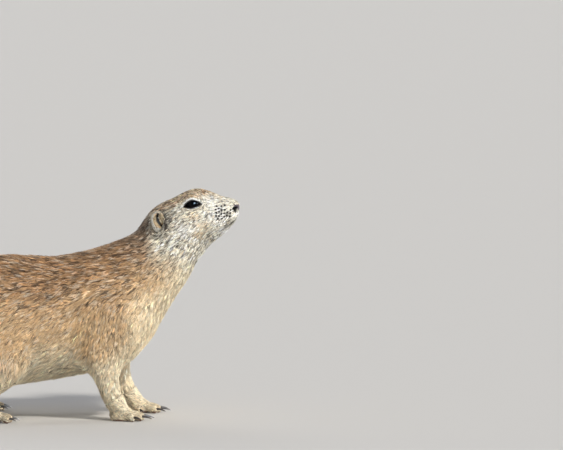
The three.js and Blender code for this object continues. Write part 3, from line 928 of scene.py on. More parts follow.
def outermost(tree, origin, direction):
    """The outermost point of the skin along a line from inside the head, and the skin's direction there."""
    direction = unit(np.array(direction, float))
    hit, normal = tree.ray_cast(Vector(origin / MM + direction * OUTSIDE), Vector(-direction))[:2]
    if hit is None:
        raise RuntimeError("a line from inside the head met no skin")
    return np.array(hit) * MM, np.array(normal)


def mouth_line(tree):
    """Points of the closed mouth, from the left corner round the muzzle to the right one."""
    found = []
    for angle in np.linspace(MOUTH_CORNER, -MOUTH_CORNER, 41):
        flat = math.cos(angle)
        direction = (flat * math.cos(MOUTH_SLOPE), math.sin(angle), flat * math.sin(MOUTH_SLOPE))
        found.append(outermost(tree, from_face(MOUTH_INSIDE), direction)[0])
    return np.array(found)


def distance_to(points, line):
    """Distance from each point to the nearest of the line's points, which lie close together."""
    nearest = np.full(len(points), 1.0)
    for p in line:
        nearest = np.minimum(nearest, np.linalg.norm(points - p, axis=1))
    return nearest


def close_to(name, points, reach):
    """1 on the mouth, the cleft or the whiskers' dots, and about 0 past twice the reach in millimetres."""
    return np.exp(-((distance_to(points, MADE[name]) / (reach * MM)) ** 2))


# A nostril's middle ahead of the middle of the eyes and above it, and how far beside the nose's middle it
# begins, in millimetres
NOSTRIL_AHEAD, NOSTRIL_UP, NOSTRIL_SIDE = 28.9, -3.5, 2.2


def nostril_depth(points):
    """1 in a nostril and 0 outside it: a comma with its tail behind and its tip low."""
    x, y, z = face_mm(points)
    across, rise = x - NOSTRIL_AHEAD, z - NOSTRIL_UP
    bowl = np.exp(-((across / 1.9) ** 2 + ((rise - 0.15 * across) / 0.95) ** 2) * 1.2)
    tip = np.exp(-(((across - 0.6) / 0.95) ** 2 + ((rise + 1.6) / 1.4) ** 2) * 1.2)
    return step(0.22, 0.62, bowl + tip) * (y > NOSTRIL_SIDE)


# Depth and reach of the grooves, and how far a nostril is cut backwards and inwards, in millimetres
GROOVES = {"mouth": (0.95, 0.62), "cleft": (0.5, 0.5)}
NOSTRIL_BACK, NOSTRIL_IN = 1.9, 2.3

# How far the floor of a socket lies under the eyeball
SOCKET_UNDER = 1.4 * MM

# Colours of the bare skin, where the mouth's and the nostrils' are painted shade in the groove and the holes
BARE_SKIN = {
    "pad": (0.085, 0.068, 0.080),
    "middle of the pad": (0.40, 0.35, 0.36),
    "mouth": (0.02, 0.012, 0.011),
    "nostril": (0.003, 0.002, 0.002),
    "sole": (0.20, 0.12, 0.09),
}

# The skins, in the order in which they are made
HEAD_SHELL, FEET_SHELL, BODY_SHELL = range(3)


def on_feet(node):
    return np.isin(node, [NODE_OF[name] for name in FEET])


class PRAIRIEDOG_OT_skin(bpy.types.Operator):
    """Makes one skin over the flesh, under the coat by the coat's depth"""

    bl_idname = "prairie_dog.skin"
    bl_label = "Skin"

    def execute(self, context):
        skin = settings("skin")
        shells = [
            skin_shell("skin_head", ["head"], skin.head_voxel, head_pull),
            skin_shell("skin_feet", FEET, skin.foot_voxel, foot_pull),
            skin_shell("skin_body", FLESH, skin.body_voxel, body_pull),
        ]
        for index, (shell, node) in enumerate(shells):
            self.sink(shell.data, node, index)
        hole = self.shape_face(shells[HEAD_SHELL][0].data)
        surface = Surface(*[shell.data for shell, node in shells])
        surface.hole = np.zeros(len(surface.points))
        surface.hole[surface.shell == HEAD_SHELL] = hole
        surface.node = np.concatenate([node for shell, node in shells])
        surface.lie = lie_of_coat(surface, surface.node)
        MADE["skin"] = surface
        tint, bare = self.paint(surface)
        material = skin_material()
        stands_for = ("head", ["head"]), ("foot", FEET), ("coat", ["neck", "trunk", "tail", *LEGS])
        for index, ((slot, nodes), (piece, node)) in enumerate(zip(stands_for, shells)):
            here = surface.shell == index
            write_attribute(piece.data, "skin_colour", tint[here])
            write_attribute(piece.data, "bare", bare[here])
            finish_piece(piece, material, slot, *nodes)
        return {"FINISHED"}

    def sink(self, mesh, node, shell):
        """Lowers a skin by the coat's depth, further where another skin takes over, but not on the soles."""
        points, normals, edges = points_of(mesh), normals_of(mesh), edges_of(mesh)
        depth = spread(coat_size(DEPTH, points, node), edges, 24)
        above = above_neck(points) - TAKEOVER
        if shell == HEAD_SHELL:
            depth += 2.0 * MM * step(0, -5, above)
        if shell == BODY_SHELL:
            depth += 2.5 * MM * step(0, 9, above)
            depth += spread(on_feet(node) * 1.2 * MM, edges, 10)
        sole = step(2.0 * MM, 0.8 * MM, points[:, 2]) * (normals[:, 2] < -0.3)
        moved = points - normals * (depth * (1 - sole))[:, None]
        moved[:, 2] = np.maximum(moved[:, 2], 0)
        set_points(mesh, moved)

    def shape_face(self, mesh):
        """Sinks the sockets, mouth's line, cleft and nostrils, and returns the nostrils' share."""
        points = points_of(mesh)
        tree = millimetre_tree(points, triangles_of(mesh))
        MADE["mouth"] = mouth_line(tree)
        MADE["dots"] = np.array([
            outermost(tree, whisker_origin(place), (0, sign, 0))[0]
            for sign in SIDES.values() for row in WHISKER_ROWS for place in row
        ])
        MADE["cleft"] = np.array([
            outermost(tree, from_face(CLEFT_INSIDE), (math.cos(angle), 0, math.sin(angle)))[0]
            for angle in CLEFT_ANGLES
        ])
        groove = sum(depth * MM * close_to(name, points, reach) for name, (depth, reach) in GROOVES.items())
        hole = nostril_depth(points)
        points = points - normals_of(mesh) * groove[:, None]
        # The nostrils are cut backwards and inwards, not along the skin, so that their walls don't cross
        points[:, 0] -= NOSTRIL_BACK * MM * hole
        points[:, 1] -= NOSTRIL_IN * MM * hole * np.sign(points[:, 1] - FACE.y)
        points = spread(points, edges_of(mesh), 4, 0.6 * step(0, 0.2, hole))
        for side in SIDES:
            inward = inside_almond(points, side)
            ahead, up, out = eye_axes(side)
            offset = points - np.array(EYE_AT[side])
            flat = np.sum((offset @ np.stack([ahead, up], 1)) ** 2, 1)
            under = np.sqrt(np.clip((EYE_RADIUS - SOCKET_UNDER) ** 2 - flat, 0, None))
            sunk = offset @ out - under
            amount = step(-0.1 * MM, 0.45 * MM, inward) * np.maximum(sunk, 0)
            points = points - out * amount[:, None]
        set_points(mesh, points)
        return hole

    def paint(self, surface):
        """The skin's colour, and how bare it is, at each point."""
        points = surface.points
        tint, dark, pale = coat_colour(points, surface.normals, surface.node)
        # Skin under fur lies in its shade, but shows between the whiskers' roots
        tint = tint * mix(0.50 - 0.25 * dark, 0.95, close_to("dots", points, 0.9))[:, None]
        bare = bare_share(points)
        along_middle = step(2.6, 0.8, face_mm(points)[1]) * 0.8
        pad = tinted(BARE_SKIN["pad"], BARE_SKIN["middle of the pad"], along_middle)
        tint = tinted(tint, pad, bare)
        # Painted shade in the mouth's groove
        tint = tinted(tint, BARE_SKIN["mouth"], close_to("mouth", points, 0.7) * 0.95)
        # Painted shade: the nostrils' lining is near black, as in the shadow of a deep hole
        tint = tinted(tint, BARE_SKIN["nostril"], step(0.02, 0.35, surface.hole))
        bare = bare * (1 - surface.hole)
        for side in SIDES:
            socket = step(-0.5 * MM, 0.1 * MM, inside_almond(points, side))
            tint = tinted(tint, settings("eyes").lid, socket)
            bare = np.maximum(bare, socket)
        sole = step(3.2 * MM, 1.5 * MM, points[:, 2])
        tint = tinted(tint, BARE_SKIN["sole"], sole)
        return tint, np.maximum(bare, sole * 0.6)


def bare_share(points):
    """1 on the nose's bare pad, which narrows down to the cleft, and 0 on furred skin."""
    x, y, z = face_mm(points)
    return step(27.9, 28.7, x) * step(-0.4, -1.3, z) * step(0, 0.9, z + 7.8 - 0.65 * y)


# The coat

# A tuft's corners are two at the root, three across its bend with the middle one raised, and one at the tip.
# On the unwrap they lie in a patch about 0.003 across.
TUFT_FACES = np.array([(0, 1, 3), (0, 3, 2), (1, 4, 3), (2, 3, 5), (3, 4, 5)])
TUFT_PATCH = np.array([(-0.6, 0), (0.6, 0), (-1, 1), (0, 1), (1, 1), (0, 2)]) * 0.0015


# The depth of a tuft's root in the skin, the coat's least depth, and how far tufts stay inside the CAD box
ROOT_DEPTH, LEAST_DEPTH, BOX_GAP = 0.12 * MM, 0.15 * MM, 0.02 * MM

# How far tufts stay from the middle of a whisker's dot and from the eye's opening
DOT_GAP, EYE_GAP = 0.75 * MM, 0.05 * MM

# Degrees by which clumps, single tufts and broad waves turn from the coat's lie
CLUMP_SPIN, TUFT_SPIN, WAVE_SPIN = 9, 6, 9

# How much of their distance from the leader's line the tips of a clump give up
GATHER = 0.65

# The share of tufts whose tip is dark or pale as their leader's is, and the root's brightness, a painted shade
# for the coat's shadowed base
FOLLOWING, ROOT_PAINTED_SHADE = 0.82, 0.35


class Tufts:
    """Roots of tufts spread over some of the skin's triangles, and the skin's fields at each."""

    def __init__(self, surface, triangles, count, seed):
        generator = np.random.default_rng(seed)
        a, b, c = surface.points[triangles].transpose(1, 0, 2)
        area = np.linalg.norm(np.cross(b - a, c - a), axis=1)
        sum_so_far = np.cumsum(area * surface.density[triangles].mean(1))
        picks = (np.arange(count) + generator.uniform(0, 1, count)) / count * sum_so_far[-1]
        chosen = triangles[np.minimum(np.searchsorted(sum_so_far, picks), len(triangles) - 1)]
        u, v = generator.uniform(0, 1, (2, count))
        over = u + v > 1
        u[over], v[over] = 1 - u[over], 1 - v[over]
        shares = np.stack([1 - u - v, u, v], 1)

        def at_roots(field):
            return (field[chosen] * (shares if field.ndim == 1 else shares[:, :, None])).sum(1)

        self.count = count
        self.generator = generator
        self.root = at_roots(surface.points)
        self.normal = unit(at_roots(surface.normals))
        self.lie = flattened(at_roots(surface.lie), self.normal)
        self.node = surface.node[chosen[:, 0]]
        self.depth, self.long, self.wide = map(at_roots, (surface.depth, surface.long, surface.wide))


def leaders(tufts, each):
    """For each tuft, the tuft that leads its clump of about this many, which is long along the hair."""
    chosen = tufts.generator.choice(tufts.count, max(6, tufts.count // each), replace=False)
    tree = KDTree(len(chosen))
    for index in chosen:
        tree.insert(tufts.root[index] / MM, index)
    tree.balance()
    near = np.array([[found[1] for found in tree.find_n(point, 6)] for point in (tufts.root / MM).tolist()])
    offset = tufts.root[near] - tufts.root[:, None]
    along = np.abs(np.sum(offset * tufts.lie[:, None], 2))
    across = np.abs(np.sum(offset * np.cross(tufts.normal, tufts.lie)[:, None], 2))
    return near[np.arange(tufts.count), np.argmin(across + 0.3 * along, 1)]


def on_skin(tree, points):
    """The nearest places on the skin, and its direction at each."""
    found = [tree.find_nearest(point)[:2] for point in (points / MM).tolist()]
    return np.array([hit for hit, normal in found]) * MM, np.array([normal for hit, normal in found])


def coat_piece(name, tufts, unwrap, tree, shade, each):
    """One joined mesh of tufts that lie along the skin and gather in small clumps, coloured by shade."""
    generator, root, normal, count = tufts.generator, tufts.root, tufts.normal, tufts.count
    leader = leaders(tufts, each)
    clump_spin = np.radians(generator.normal(0, CLUMP_SPIN, count))[leader]
    spin = clump_spin + np.radians(generator.normal(0, TUFT_SPIN, count) + WAVE_SPIN * waves(root, 0.008, 50))
    side = np.cross(normal, tufts.lie)
    lie = tufts.lie * np.cos(spin)[:, None] + side * np.sin(spin)[:, None]
    side = np.cross(normal, lie)
    reach = tufts.long * generator.uniform(0.75, 1.25, count)
    half = (tufts.wide * generator.uniform(0.35, 0.62, count))[:, None]
    depth = np.maximum(tufts.depth, LEAST_DEPTH)
    clump_lift = generator.uniform(0.35, 0.85, count)[leader]
    lift = (clump_lift + generator.uniform(-0.12, 0.15, count)) * depth

    # The tips of a clump draw together, and bend and tip follow the skin below them
    apart = np.sum((root - root[leader]) * side, 1)
    gather = side * (apart * GATHER)[:, None]
    bend, bend_normal = on_skin(tree, root + lie * (reach * 0.5)[:, None] - gather * 0.45)
    tip, tip_normal = on_skin(tree, root + lie * reach[:, None] - gather)
    across = unit(side + normal * generator.normal(0, 0.28, count)[:, None])
    bend = bend + bend_normal * (lift * 0.62)[:, None]
    tip = tip + tip_normal * lift[:, None]
    base = root - normal * ROOT_DEPTH
    points = np.stack([
        base - across * half * 0.6,
        base + across * half * 0.6,
        bend - across * half,
        bend + bend_normal * (half * 0.34),
        bend + across * half,
        tip,
    ], 1)
    colours = tuft_colours(tufts, leader, shade)
    places = unwrap(root)[:, None, :] + TUFT_PATCH[None]

    # A tuft that would hang into an eye or over a whisker's root is left out
    clear = np.ones(count, bool)
    for side_name in SIDES:
        clear &= np.maximum(inside_almond(tip, side_name), inside_almond(bend, side_name)) < -EYE_GAP
    for place in (bend, (bend + tip) / 2, tip):
        clear &= distance_to(place, MADE["dots"]) > DOT_GAP
    points, colours, places = points[clear], colours[clear], places[clear]
    points = np.clip(points, np.array(CAD_BOX[0]) + BOX_GAP, np.array(CAD_BOX[1]) - BOX_GAP)

    faces = (TUFT_FACES[None] + 6 * np.arange(len(points))[:, None, None]).reshape(-1, 3)
    mesh = mesh_of(name, points.reshape(-1, 3), faces)
    layer = mesh.uv_layers.new(name="OFBake")
    layer.data.foreach_set("uv", places.reshape(-1, 2)[faces.ravel()].astype(np.float32).ravel())
    write_attribute(mesh, "tuft_colour", colours.reshape(-1, 3))
    finish_piece(put(name, mesh), MADE["fur"], "coat")


def tuft_colours(tufts, leader, shade):
    """Six colours for each tuft: a root darkened by painted shade, the marking's colour, and a dark, plain or
    pale tip, with painted shade by the mouth's line and the cleft.
    """
    generator, count = tufts.generator, tufts.count
    paint = palette()
    base, dark_share, pale_share = shade(tufts.root, tufts.normal, tufts.node)
    follows = generator.uniform(0, 1, count) < FOLLOWING
    draw = generator.uniform(0, 1, count)
    draw = np.where(follows, draw[leader], draw)
    on_head = tufts.node == NODE_OF["head"]
    x, y, z = face_mm(tufts.root)
    crown = step(0, 3, z - np.interp(x, *CAP_EDGE))
    uneven = np.where(on_head, 0.46 + 0.2 * np.maximum(step(-17, -22, z), crown), 0.20)
    light = 0.10 * generator.normal(0, 1, count) + uneven * generator.normal(0, 1, count)[leader]
    warm = generator.normal(0, 0.04, (count, 1))[leader] * np.array((1.0, 0.1, -0.8))
    warm[on_head] *= 1.2
    base = np.clip(base * np.exp(light)[:, None] * (1 + warm), 0, 0.97)
    is_dark = (draw < dark_share)[:, None]
    is_pale = (draw > 1 - pale_share)[:, None]
    bright = np.where(on_head, 0.75 - 0.2 * crown, 0.38)
    pale = tinted(base, tinted(paint["cream"], paint["white"], 0.4), bright)
    plain_tip, plain_bend = np.where(is_pale, pale, base), np.where(is_pale, tinted(base, pale, 0.6), base)
    tip = np.where(is_dark, tinted(base, paint["dark"], 0.88), plain_tip)
    bend = np.where(is_dark, tinted(base, paint["dark"], 0.62), plain_bend)
    # Painted shade: the root is darker, as the base of the coat lies in shadow
    root = base * ROOT_PAINTED_SHADE
    bands = [root, root, bend, bend, bend, tip]
    # Painted shade: tufts by the mouth's line and the cleft are darkened, as shade falls into these grooves
    for name, reach, strength in (("mouth", 0.9, 0.92), ("cleft", 0.5, 0.5)):
        near = close_to(name, tufts.root, reach) * strength
        bands = [tinted(band, (0.03, 0.022, 0.02), near) for band in bands]
    return np.stack(bands, 1)


def cylinder_unwrap(origin, axis, up):
    """Turns places on the skin into angle and length about an axis, scaled to the unit square."""
    axis, up = unit(np.array(axis, float)), unit(np.array(up, float))
    side = np.cross(axis, up)

    def unwrap(points):
        offset = points - np.array(origin)
        found = np.stack([np.arctan2(offset @ side, offset @ up), offset @ axis], 1)
        low, high = found.min(0), found.max(0)
        return 0.01 + 0.98 * (found - low) / np.maximum(high - low, 1e-9)

    return unwrap


# The first coat piece's seed of random draws, and the tufts in a clump
FIRST_SEED = 11
HEAD_CLUMP, BODY_CLUMP, EAR_CLUMP = 7, 5, 4

# Tufts on each part of the body, where each half of the head has its number in the settings
BACK_TUFTS, BELLY_TUFTS, TAIL_TUFTS, FLANK_TUFTS = 37000, 14000, 18000, 32000
LIMB_TUFTS = {"foreleg": 9000, "hindleg": 13000, "forefoot": 6000, "hindfoot": 7000}

# How far the skin faces up where the back begins, and where the belly does
ABOVE, BELOW = 0.25, -0.6

# The middle of the trunk, and the middle of the head in millimetres from the middle of the eyes
TRUNK_MIDDLE = (0, 0, 0.065)
HEAD_MIDDLE = (-8, 0, -12)


class PRAIRIEDOG_OT_coat(bpy.types.Operator):
    """Grows the fur as joined tufts that follow the lie of the coat"""

    bl_idname = "prairie_dog.coat"
    bl_label = "Coat"

    def execute(self, context):
        surface = MADE["skin"]
        MADE["fur"] = fur_material()
        points, node, edges = surface.points, surface.node, surface.edges
        surface.depth = spread(coat_size(DEPTH, points, node), edges, 20)
        surface.long = spread(coat_size(LENGTH, points, node), edges, 30)
        surface.wide = spread(coat_size(WIDTH, points, node), edges, 30)
        # Short hair on the lids and the lips
        rim = np.max([inside_almond(points, side) for side in SIDES], axis=0) / MM
        surface.long = mix(surface.long, 0.75 * MM, step(-2.6, -0.9, rim))
        from_mouth = distance_to(points, MADE["mouth"]) / MM
        surface.long = mix(surface.long, 0.9 * MM, step(2.6, 0.9, from_mouth))
        surface.density = self.density(surface)
        tree = millimetre_tree(points, surface.triangles)
        for index, (name, chosen, count, axis) in enumerate(self.zones(surface)):
            tufts = Tufts(surface, surface.triangles[chosen], count, FIRST_SEED + index)
            clump = HEAD_CLUMP if name.startswith("fur_head") else BODY_CLUMP
            coat_piece(name, tufts, cylinder_unwrap(*axis), tree, coat_colour, clump)
        return {"FINISHED"}

    def density(self, surface):
        """None on bare skin, on the soles and where another shell of the skin lies on top."""
        points = surface.points
        density = (1 - bare_share(points)) * step(0.2, 0, surface.hole)
        density *= step(0.25 * MM, 0.6 * MM, distance_to(points, MADE["mouth"]))
        density *= step(0.4 * MM, 0.8 * MM, distance_to(points, MADE["dots"]))
        for side in SIDES:
            density *= step(0.05 * MM, -0.15 * MM, inside_almond(points, side))
        density *= step(1.2 * MM, 2.6 * MM, points[:, 2])
        below = np.where(on_feet(surface.node), FEET_SHELL, BODY_SHELL)
        outer_shell = np.where(above_neck(points) > TAKEOVER, HEAD_SHELL, below)
        return density * (surface.shell == outer_shell)

    def zones(self, surface):
        """Each piece's name, triangles, number of tufts and axis of its unwrap."""
        triangles = surface.triangles
        centre = surface.points[triangles].mean(1)
        facing = surface.normals[triangles].mean(1)[:, 2]
        kind = np.array(KIND_OF)[surface.node[triangles[:, 0]]]
        kept = surface.density[triangles].min(1) > 0.02
        head = kept & (surface.shell[triangles[:, 0]] == HEAD_SHELL)
        body = kept & ~head
        torso = body & np.isin(kind, ("head", "neck", "trunk"))
        above, below = facing > ABOVE, facing <= BELOW
        along, up, down = (1, 0, 0), (0, 0, 1), (0, 0, -1)
        tail_low, tail_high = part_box("tail")
        tail_line = (tail_high.x - tail_low.x, -0.015, 0.03)
        zones = [
            ("fur_back", torso & above, BACK_TUFTS, (TRUNK_MIDDLE, along, up)),
            ("fur_belly", torso & below, BELLY_TUFTS, (TRUNK_MIDDLE, along, down)),
            ("fur_tail", body & (kind == "tail"), TAIL_TUFTS, (middle("tail"), tail_line, up)),
        ]
        head_axis = (from_face(HEAD_MIDDLE), (1, 0, 0.15), up)
        for side, sign in SIDES.items():
            here = centre[:, 1] * sign > 0
            flank = torso & ~above & ~below & here
            zones.append((f"fur_head_{side}", head & here, settings("coat").head_tufts, head_axis))
            zones.append((f"fur_flank_{side}", flank, FLANK_TUFTS, (TRUNK_MIDDLE, along, up)))
            for limb, count in LIMB_TUFTS.items():
                line = (up, along) if limb.endswith("leg") else (along, up)
                axis = (middle(f"{limb}_{side}"), *line)
                zones.append((f"fur_{limb}_{side}", body & here & (kind == limb), count, axis))
        return zones


# Eyes and lids

# How far the cornea bulges from the ball
CORNEA = 0.25 * MM

# A lid's section: each point's distance out from the opening's edge and lift over the eyeball, both in
# millimetres, and its paleness. On the bare margin the distance counts from the margin's inner side.
LID_MARGIN = ((0, -0.35, 0), (-0.05, 0.05, 0), (0.15, 0.32, 0))
LID_RIM = ((-0.25, 0.50, 0), (0.05, 0.62, 0.5), (0.4, 0.62, 1), (0.8, 0.45, 1), (1.0, -0.3, 1))
LID_STEPS = 96


class PRAIRIEDOG_OT_eyes(bpy.types.Operator):
    """Makes the glossy eyeballs, each with a bulging cornea"""

    bl_idname = "prairie_dog.eyes"
    bl_label = "Eyes"

    def execute(self, context):
        material = eye_material()
        for side, centre in EYE_AT.items():
            piece = ball(centre, EYE_RADIUS - CORNEA, 64, 40)
            bpy.ops.object.transform_apply(location=True, rotation=True, scale=True)
            piece.name = piece.data.name = f"eyeball_{side}"
            points = points_of(piece.data)
            radial = unit(points - np.array(centre))
            front = radial @ eye_axes(side)[2]
            points = points + radial * (CORNEA * step(0.55, 0.95, front))[:, None]
            set_points(piece.data, points)
            ring = step(0.74, 0.80, front) * step(0.94, 0.88, front)
            write_attribute(piece.data, "iris", ring)
            finish_piece(piece, material, "eye", f"eye_{side}")
        return {"FINISHED"}


class PRAIRIEDOG_OT_lids(bpy.types.Operator):
    """Makes the dark rims of the lids, which hug the eyeballs"""

    bl_idname = "prairie_dog.lids"
    bl_label = "Lids"

    def execute(self, context):
        material = lid_material()
        for side in SIDES:
            finish_piece(self.rim(side), material, "head")
        return {"FINISHED"}

    def rim(self, side):
        """A closed ring: its section runs from the eyeball over the lid's edge and under the fur."""
        eyes = settings("eyes")
        ahead, up, out = eye_axes(side)
        centre = np.array(EYE_AT[side])
        angles = np.linspace(0, 2 * math.pi, LID_STEPS, endpoint=False)
        across = np.cos(angles)
        top, bottom = almond(across)
        height = np.where(np.sin(angles) >= 0, top, bottom)
        outward = unit(np.stack([across * 0.75, np.sin(angles)], 1))
        margin = eyes.margin / MM
        section = [*((-margin + offset, lift, white) for offset, lift, white in LID_MARGIN), *LID_RIM]
        rings, pale = [], []
        for offset, lift, white in section:
            a = across * eyes.half - eyes.back + outward[:, 0] * offset * MM
            b = height - eyes.low + outward[:, 1] * offset * MM
            # Over the ball as far as it reaches, and straight down past its side
            radius = EYE_RADIUS + lift * MM
            flat = a * a + b * b
            limit = (radius * 0.985) ** 2
            depth = np.sqrt(np.maximum(radius * radius - np.minimum(flat, limit), 0))
            depth -= np.sqrt(np.maximum(flat - limit, 0)) * 0.8
            rings.append(centre + a[:, None] * ahead + b[:, None] * up + depth[:, None] * out)
            pale.append(np.full(LID_STEPS, float(white)))
        quads = loops(LID_STEPS, len(section), LID_STEPS)
        piece = put(f"lid_{side}", mesh_of(f"lid_{side}", np.stack(rings, 1).reshape(-1, 3), quads))
        write_attribute(piece.data, "pale", np.stack(pale, 1).ravel())
        edit_all(piece, bpy.ops.mesh.normals_make_consistent, inside=False)
        apply_modifier(piece, "SUBSURF", levels=1, render_levels=1)
        return piece


# Ears

# Place and turn of each ear from the middle of the eyes, and its cup within it, in millimetres and degrees
EAR = {"back": 23.1, "out": 18.6, "down": 12.6, "turn": 28, "lean": 12}
EAR_CUP = {"shift": (0, 2.6, 1.4), "radii": (3.5, 3.4, 4.8)}

# The voxel of the ear's skin, how far that lies under the coat, and the coat's tufts and seed of random draws
EAR_VOXEL, EAR_UNDER = 0.35 * MM, 0.2 * MM
EAR_TUFTS, EAR_SEED = 3600, 90

# Colours of the ear's skin, and of the painted shadow in the front of its cup
EAR_RIM, EAR_INSIDE, EAR_PAINTED_SHADOW = (0.80, 0.70, 0.54), (0.40, 0.29, 0.17), (0.005, 0.004, 0.004)


def in_ear(points, side):
    """Points in millimetres from the ear's middle: forward, outward and up along the ear itself."""
    sign = SIDES[side]
    centre = from_face((-EAR["back"], EAR["out"] * sign, -EAR["down"]))
    turn = Matrix.Rotation(math.radians(-EAR["turn"] * sign), 3, "Z")
    lean = Matrix.Rotation(math.radians(-EAR["lean"]), 3, "Y")
    local = (points - centre) @ np.array(turn @ lean) / MM
    local[:, 1] *= sign
    return local


def in_cup(points, side):
    """1 on the walls of the ear's cup and 0 on the rest of the ear."""
    share = np.linalg.norm((in_ear(points, side) - EAR_CUP["shift"]) / EAR_CUP["radii"], axis=1)
    return step(1.30, 1.18, share)


class PRAIRIEDOG_OT_ears(bpy.types.Operator):
    """Makes the thin cupped ears and the short hair on them"""

    bl_idname = "prairie_dog.ears"
    bl_label = "Ears"

    def execute(self, context):
        material = ear_material()
        for side in SIDES:
            ear = copies([f"ear_{side}"], f"ear_shell_{side}")
            apply_modifier(ear, "REMESH", mode="VOXEL", voxel_size=EAR_VOXEL, adaptivity=0)
            mesh = ear.data
            points = relaxed(points_of(mesh), edges_of(mesh), 30, 0.3)
            set_points(mesh, points)
            set_points(mesh, points - normals_of(mesh) * EAR_UNDER)
            write_attribute(mesh, "ear_colour", self.tint(points, side))
            finish_piece(ear, material, "ear", f"ear_{side}")
            self.hair(mesh, side)
        return {"FINISHED"}

    def tint(self, points, side):
        """Pale on the rim, warm tan at the back of the cup, and a black painted shadow in front."""
        local = in_ear(points, side)
        cup = in_cup(points, side)
        tint = tinted(np.broadcast_to(EAR_RIM, points.shape), EAR_INSIDE, cup)
        # A painted shadow of the canal runs down the middle of the cup and turns forward below
        middle_line = 0.4 * np.maximum(1.0 - local[:, 2], 0)
        lobe = step(1.4, 2.0, local[:, 0]) * step(-2.0, -1.0, local[:, 2])
        front = step(-1.1, -0.5, local[:, 0] - middle_line) * (1 - lobe)
        return tinted(tint, EAR_PAINTED_SHADOW, cup * front)

    def hair(self, mesh, side):
        """Short cream hair on the ear's back and rim, and a small tuft over the front of the cup."""
        surface = Surface(mesh)
        points, normals = surface.points, surface.normals
        cup = in_cup(points, side)
        local = in_ear(points, side)
        front = step(1.5, 2.6, local[:, 0]) * step(-1.5, 0.5, local[:, 2])
        back_of_cup = 0.15 * step(-0.6, -1.4, local[:, 0])
        surface.node = np.full(len(points), NODE_OF["head"])
        surface.lie = flattened(np.broadcast_to((-0.55, 0.25 * SIDES[side], 0.8), points.shape), normals)
        surface.depth = (0.5 + 0.5 * front) * MM
        surface.long = (1.5 + 1.5 * front) * MM
        surface.wide = np.full(len(points), 0.32 * MM)
        surface.density = np.maximum.reduce([1 - cup, front * 1.2, back_of_cup])
        tree = millimetre_tree(points, surface.triangles)
        tufts = Tufts(surface, surface.triangles, EAR_TUFTS, EAR_SEED)
        unwrap = cylinder_unwrap(middle(f"ear_{side}"), (0, 0, 1), (1, 0, 0))

        def shade(roots, normals, node):
            """Cream hair outside and tan hair in the cup, with a few dark tips, and pale tips outside."""
            paint = palette()
            cup = in_cup(roots, side)
            outside = np.broadcast_to(tinted(paint["cream"], paint["white"], 0.45), roots.shape)
            tint = tinted(outside, tinted(paint["buff"], paint["cream"], 0.35), cup)
            return tint, np.full(len(roots), 0.03), 0.6 * (1 - cup)

        coat_piece(f"fur_ear_{side}", tufts, unwrap, tree, shade, EAR_CLUMP)


# Whiskers

# Roots of the whiskers on each side, in millimetres ahead of the middle of the eyes and above it
WHISKER_ROWS = [
    ((16.3, -2.0), (19.7, -2.0), (21.8, -1.4)),
    ((15.8, -4.2), (17.8, -3.5), (19.7, -4.6), (25.9, -4.6)),
    ((16.2, -6.2), (18.1, -5.5), (19.6, -7.1), (21.6, -6.7), (23.6, -6.1), (25.6, -6.6)),
    ((16.1, -8.2), (18.0, -8.4), (21.5, -8.9), (23.4, -8.2), (25.3, -8.8)),
    ((17.3, -10.3), (20.0, -10.2), (22.0, -4.4)),
]

# Radius of a whisker where it begins, and radius and length of the dot at its root, in millimetres
WHISKER_RADIUS, DOT_RADIUS, DOT_LENGTH = 0.03, 0.64, 1.2
WHISKER_SEED = 70


def whisker_origin(place):
    """The point in the middle of the head beside which a whisker's root lies on the skin."""
    return from_face((place[0], 0, place[1]))


class PRAIRIEDOG_OT_whiskers(bpy.types.Operator):
    """Makes the rows of dark whisker roots and the thin whiskers that grow from them"""

    bl_idname = "prairie_dog.whiskers"
    bl_label = "Whiskers"

    def execute(self, context):
        surface = MADE["skin"]
        tree = millimetre_tree(surface.points, surface.triangles)
        material = whisker_material()
        # The quads of one whisker, turned to face outwards, whose last ring is almost a point
        quads = loops(self.RINGS, self.AROUND, self.RINGS + 1)[:, [0, 3, 2, 1]]
        for index, (side, sign) in enumerate(SIDES.items()):
            generator = np.random.default_rng(WHISKER_SEED + index)
            shafts = [self.whisker(tree, sign, place, generator) for row in WHISKER_ROWS for place in row]
            faces = np.concatenate([quads + n * len(shafts[0]) for n in range(len(shafts))])
            piece = put(f"whiskers_{side}", mesh_of(f"whiskers_{side}", np.concatenate(shafts), faces))
            finish_piece(piece, material, "head")
        return {"FINISHED"}

    RINGS, AROUND = 16, 8

    def whisker(self, tree, sign, place, generator):
        """One whisker: a root like a dark dot that narrows to a long curved shaft."""
        root, normal = outermost(tree, whisker_origin(place), (0, sign, 0))
        # Longer towards the cheek
        long = (10 + 0.85 * (26 - place[0]) + generator.uniform(-2, 3)) * MM
        swept = np.array((-0.55, 0.9 * sign, -0.15 + 0.09 * (place[1] + 6)))
        swept = unit(swept + generator.normal(0, 0.07, 3))
        rise = unit(normal * 0.8 + swept * 0.5)
        peg = unit(normal * 0.3 + np.array((0, 0.7 * sign, 0)))
        angles = 2 * math.pi * np.arange(self.AROUND) / self.AROUND
        points = []
        for t in (np.arange(self.RINGS + 1) / self.RINGS) ** 2.2:
            # Straight out of the skin as a peg, and then over backwards and down a little
            out = t * long / MM
            bent = step(0.6, 2.6, out)
            shaft = rise * (1 - 0.5 * t) * 0.6 + swept * (0.5 + 0.3 * t)
            path = peg * (t * (1 - bent)) + shaft * (t * bent) - np.array((0, 0, 0.12 * t * t))
            centre = root - peg * 0.1 * MM + path * long
            dot = DOT_RADIUS * math.sqrt(max(1 - (out / DOT_LENGTH) ** 4, 0))
            radius = (WHISKER_RADIUS * (1 - 0.7 * t) + dot) * MM
            along = unit(mix(peg, rise * (1 - t) + swept * t, bent))
            one = unit(np.cross(along, (0, 0, 1.0)))
            two = np.cross(along, one)
            points.append(centre + (np.outer(np.cos(angles), one) + np.outer(np.sin(angles), two)) * radius)
        return np.concatenate(points)


# Claws

